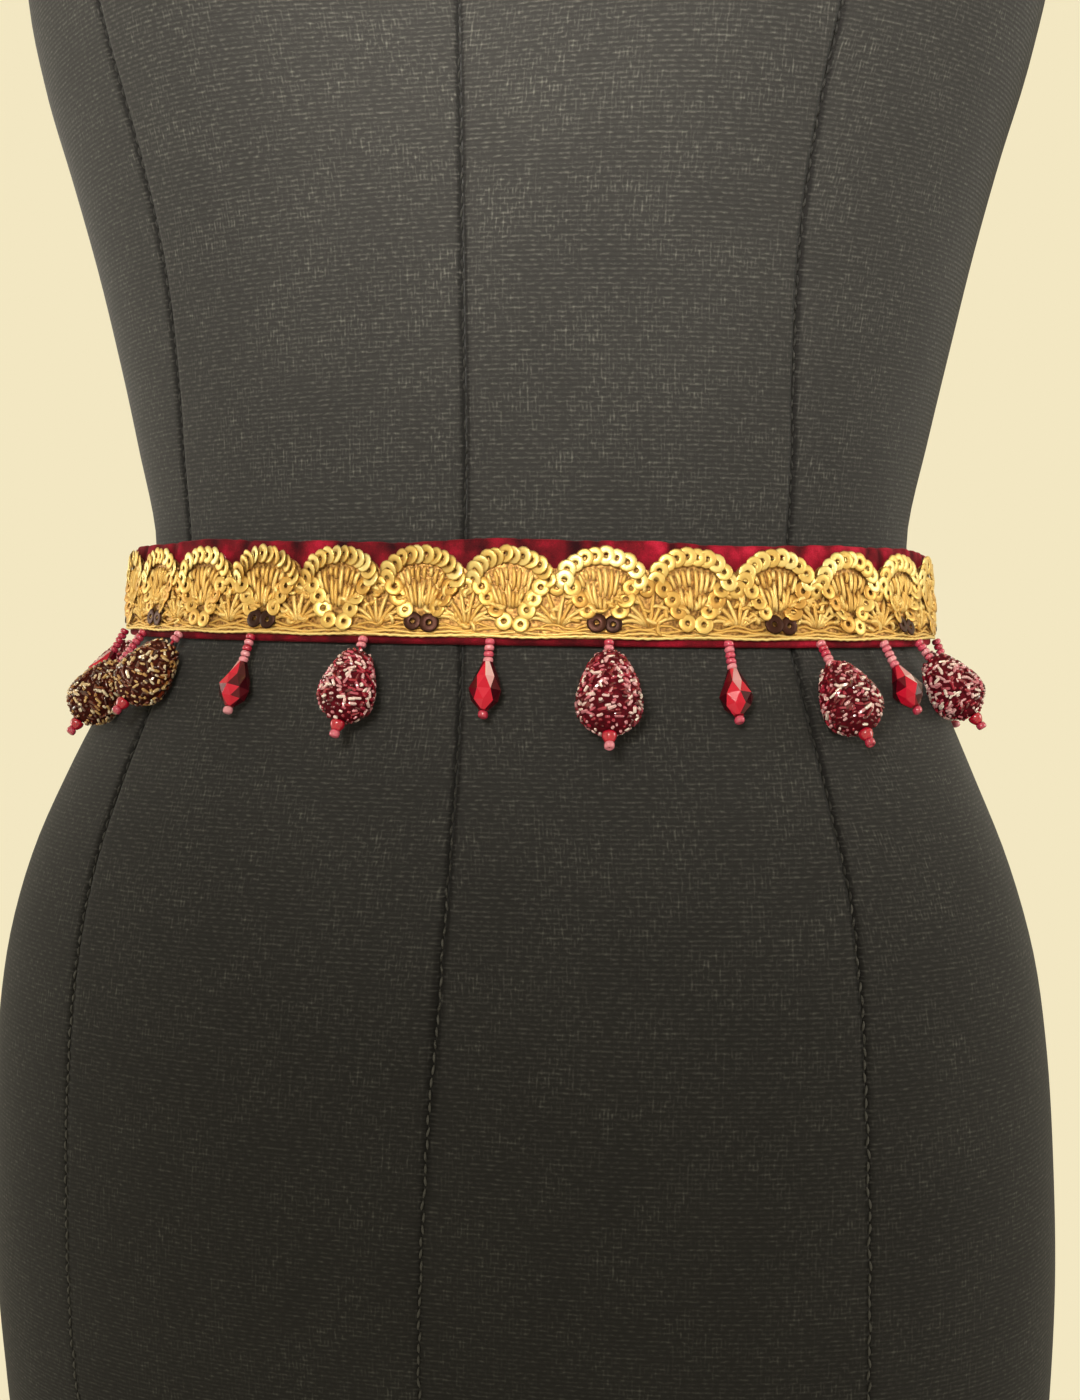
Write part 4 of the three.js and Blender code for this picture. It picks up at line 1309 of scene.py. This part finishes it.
# The tones of a crystal's facets, which paint its reflections and what shows through it: painted dark at
# its sides and painted pale in its windows.
FACET_TONES = {
    "side": (0.02, 0.2),
    "inner": (0.12, 0.4),
    "foot_side": (0.1, 0.35),
    "foot": (0.56, 0.64),
    "middle": (0.5, 0.68),
    "window": (0.88, 1.0),
    "window_foot": (0.5, 0.62),
}


def crystal(node, seed):
    """A cut glass drop: every second ring is turned by half a side, so that its facets are long kites."""
    line = drop_line(f"{node}_beads")
    start, end, radius = body_reach(node, line)
    high = end - start
    sides, rings = 8, len(CRYSTAL_PROFILE) + 1
    deselect()
    bpy.ops.mesh.primitive_uv_sphere_add(segments=sides, ring_count=rings, radius=1)
    drop = just_added(f"{node}_cut")
    share, turn = ball_places(points_of(drop))
    ring = np.rint(share * rings).astype(int)
    pole = (ring == 0) | (ring == rings)
    table = np.array([CRYSTAL_PROFILE[0], *CRYSTAL_PROFILE, CRYSTAL_PROFILE[-1]])
    turn = turn + (ring % 2) * math.pi / sides
    reach = np.where(pole, 0, table[ring, 1] * radius)
    move_points(drop, in_place(round_about(reach, turn, -start - high * table[ring, 0]), line) * MM)
    bpy.context.view_layer.objects.active = drop
    bpy.ops.object.mode_set(mode="EDIT")
    bpy.ops.mesh.select_all(action="SELECT")
    bpy.ops.mesh.quads_convert_to_tris(quad_method="SHORTEST_DIAGONAL")
    bpy.ops.mesh.normals_make_consistent(inside=False)
    bpy.ops.object.mode_set(mode="OBJECT")
    drop.data.shade_flat()
    scatter = random.Random(seed)
    tone = drop.data.attributes.new("tone", "FLOAT", "FACE")
    # The painted pale windows of the front drops are turned to the front, and those of the back drops face
    # outwards.
    window = np.array((0.0, -1.0, 0.0)) if line["top"][1] < 0 else line["axes"][1]
    aside = np.cross(window, (0.0, 0.0, 1.0))
    aside *= math.copysign(1, aside[0] * line["top"][0])
    # A sphere's faces come in no fixed order, so they are put in order of place before each draws its tone.
    for face in sorted(drop.data.polygons, key=lambda face: [round(c, 6) for c in face.center]):
        across, front = aside @ np.array(face.normal), window @ np.array(face.normal)
        share = (-(line["axes"][2] @ (np.array(face.center) / MM - line["top"])) - start) / high
        if abs(across) > 0.6 or front < 0.1:
            kind = "side"
        elif share > 0.6:
            kind = "foot" if abs(across) < 0.45 else "foot_side"
        elif across < -0.25:
            kind = "inner"
        elif across < 0.12:
            kind = "middle"
        else:
            kind = "window" if share < 0.5 else "window_foot"
        tone.data[face.index].value = scatter.uniform(*FACET_TONES[kind])
    return dress(drop, CUT_GLASS, "crystal", node)


def seed_shape():
    """A rounded ring bead on its own axis, one unit in radius and in half its height."""
    ring = 0.38
    sizes = {"major_radius": 1 - ring, "minor_radius": ring, "major_segments": 12, "minor_segments": 8}
    points, faces = pattern_of(bpy.ops.mesh.primitive_torus_add, **sizes)
    points[:, 2] /= ring
    return points, faces


def cap_shape(head, foot):
    """The red cup between a berry and its end bead, drawn in to a nozzle at its foot."""
    points, faces = pattern_of(bpy.ops.mesh.primitive_uv_sphere_add, segments=16, ring_count=10, radius=1)
    share, turn = ball_places(points)
    return round_about(closed_reach(CAP_PROFILE, share), turn, -head - (foot - head) * share), faces


def bead_string(node, is_berry, seed):
    """The thread of a drop, with the seed beads above it, the cap under a berry and the end bead."""
    line = drop_line(f"{node}_beads")
    start, end, _ = body_reach(node, line)
    scatter = random.Random(seed)
    shape, faces = seed_shape()
    step = SEED_BEAD["high"] + SEED_BEAD["parting"]
    count = round((start - 0.4) / step)
    beads = [(step * (k + 0.5), SEED_BEAD) for k in range(count)]
    beads.append((line["long"] - END_BEAD["high"] / 2, END_BEAD))
    parts = []
    for height, bead in beads:
        tilt = [scatter.uniform(-0.1, 0.1), scatter.uniform(-0.1, 0.1)]
        points = shape * np.array([bead["radius"], bead["radius"], bead["high"] / 2])
        points[:, 2] += points[:, 0] * tilt[0] + points[:, 1] * tilt[1]
        points[:, 2] -= height
        parts.append((in_place(points, line), faces, scatter.uniform(0.25, 0.9)))
    if is_berry:
        foot = line["long"] - END_BEAD["high"] + STRING["tuck"]
        points, cap_faces = cap_shape(end - 0.4, foot)
        parts.append((in_place(points, line), cap_faces, 0.0))
    steps = np.linspace(0, line["long"] - STRING["tuck"], 8)
    path = in_place(np.stack([0 * steps, 0 * steps, -steps], axis=1), line)
    outs = np.broadcast_to(line["axes"][1], path.shape)
    points, tube_faces = swept([path], [outs], STRING["radius"], 6)
    parts.append((points, tube_faces, 0.1))
    piece = joined(f"{node}_string", *gathered(parts))
    shade(piece)
    return dress(piece, STRING_BEADS, "string_beads", f"{node}_beads")


AMBER_BERRIES = ("berry_08", "berry_09")


def fringe():
    """Every drop and its string."""
    made = []
    drops = (name for name in NODES if name.startswith(("berry_", "crystal_")))
    for i, name in enumerate(sorted(name for name in drops if not name.endswith("_beads"))):
        is_berry = name.startswith("berry")
        if is_berry:
            finishes = (BROWN_BEADS, BROWN_CORE) if name in AMBER_BERRIES else (RED_BEADS, WINE_CORE)
            made.append(berry(name, *finishes, 100 + i))
        else:
            made.append(crystal(name, 200 + i))
        made.append(bead_string(name, is_berry, 300 + i))
    return made


def make_belt():
    ground, ground_flat, ground_area = border_ground()
    on_ground = [*sequins(), gilt_threads(), silk_whiskers()]
    band, band_flat = velvet_band()
    drops = fringe()
    for name in ("lap_hook_1", "lap_hook_2"):
        hook = NODES[name]
        hook.data.materials.clear()
        hook.data.materials.append(STEEL)


# --------------------------------------------------------------------------------------------------
# The floor, the backdrop colour and the lights
CREAM = "#f3e7c2"
AMBIENT = 0.47  # the soft light from all round, next to the backdrop's 1
LAMP = "#fffaf0"
# Each light's place, what it is aimed at and its width in metres, its power in watts and its spread in
# degrees.
LIGHTS = {
    "key": ((0.02, -0.82, 0.58), (0.025, -0.08, 0.472), 0.3, 0.92, 40),
    "top": ((0.08, -0.9, 0.66), (0.03, -0.05, 0.59), 0.3, 0.22, 25),
    "right": ((0.8, 0.05, 0.4), (0.15, 0.0, 0.22), 0.4, 0.17, 36),
    "left": ((-0.8, 0.05, 0.26), (-0.15, 0.0, 0.2), 0.4, 0.13, 36),
}


def lit_cream(tree):
    # Cream card lit so evenly that it shows no shade.
    return add(tree, "ShaderNodeEmission", {"Color": srgb(CREAM), "Strength": 1.0})


def painted_floor(tree):
    # Matt cream paint, which shows the soft shade next to the form's foot and then runs into the even card.
    place = add(tree, "ShaderNodeTexCoord").outputs["Object"]
    away = add(tree, "ShaderNodeVectorMath", {0: place}, operation="LENGTH").outputs["Value"]
    reach = {"Value": away, "From Min": 0.12, "From Max": 0.172}
    fade = add(tree, "ShaderNodeMapRange", reach, interpolation_type="SMOOTHSTEP")
    near = add(tree, "ShaderNodeBsdfDiffuse", {"Color": srgb("#efe6cc")})
    return add(tree, "ShaderNodeMixShader", {0: fade, 1: near, 2: lit_cream(tree)})


def stage_piece(name, finish):
    """The shape just added gets its name and finish, and the soft light passes it."""
    piece = bpy.context.object
    piece.name = name
    piece.data.materials.append(finish)
    piece.visible_diffuse = False
    return piece


def make_stage():
    """A pale floor that runs into an even backdrop, and the soft light that comes from all round."""
    deselect()
    bpy.ops.mesh.primitive_circle_add(vertices=96, radius=6, fill_type="NGON", location=(0, 0, 0))
    stage_piece("floor", material("painted_floor", painted_floor))
    deselect()
    bpy.ops.mesh.primitive_uv_sphere_add(segments=48, ring_count=24, radius=5.5, location=(0, 0, 0))
    stage_piece("backdrop", material("cream_backdrop", lit_cream)).visible_shadow = False

    world = bpy.data.worlds.new("studio")
    bpy.context.scene.world = world
    world.use_nodes = True
    world.node_tree.nodes.clear()
    sky = add(world.node_tree, "ShaderNodeBackground", {"Color": srgb("#f6efdc"), "Strength": AMBIENT})
    add(world.node_tree, "ShaderNodeOutputWorld", {"Surface": sky})


def make_lights():
    for name, (place, aim, size, power, spread) in LIGHTS.items():
        data = bpy.data.lights.new(name, "AREA")
        data.shape = "DISK"
        data.size = size
        data.energy = power
        data.color = srgb(LAMP)[:3]
        data.spread = math.radians(spread)
        light = bpy.data.objects.new(name, data)
        bpy.context.scene.collection.objects.link(light)
        light.location = place
        light.rotation_euler = (Vector(aim) - Vector(place)).to_track_quat("-Z", "Y").to_euler()
    bpy.context.scene.view_settings.view_transform = "Standard"


add_camera()
make_form()
make_belt()
make_stage()
make_lights()
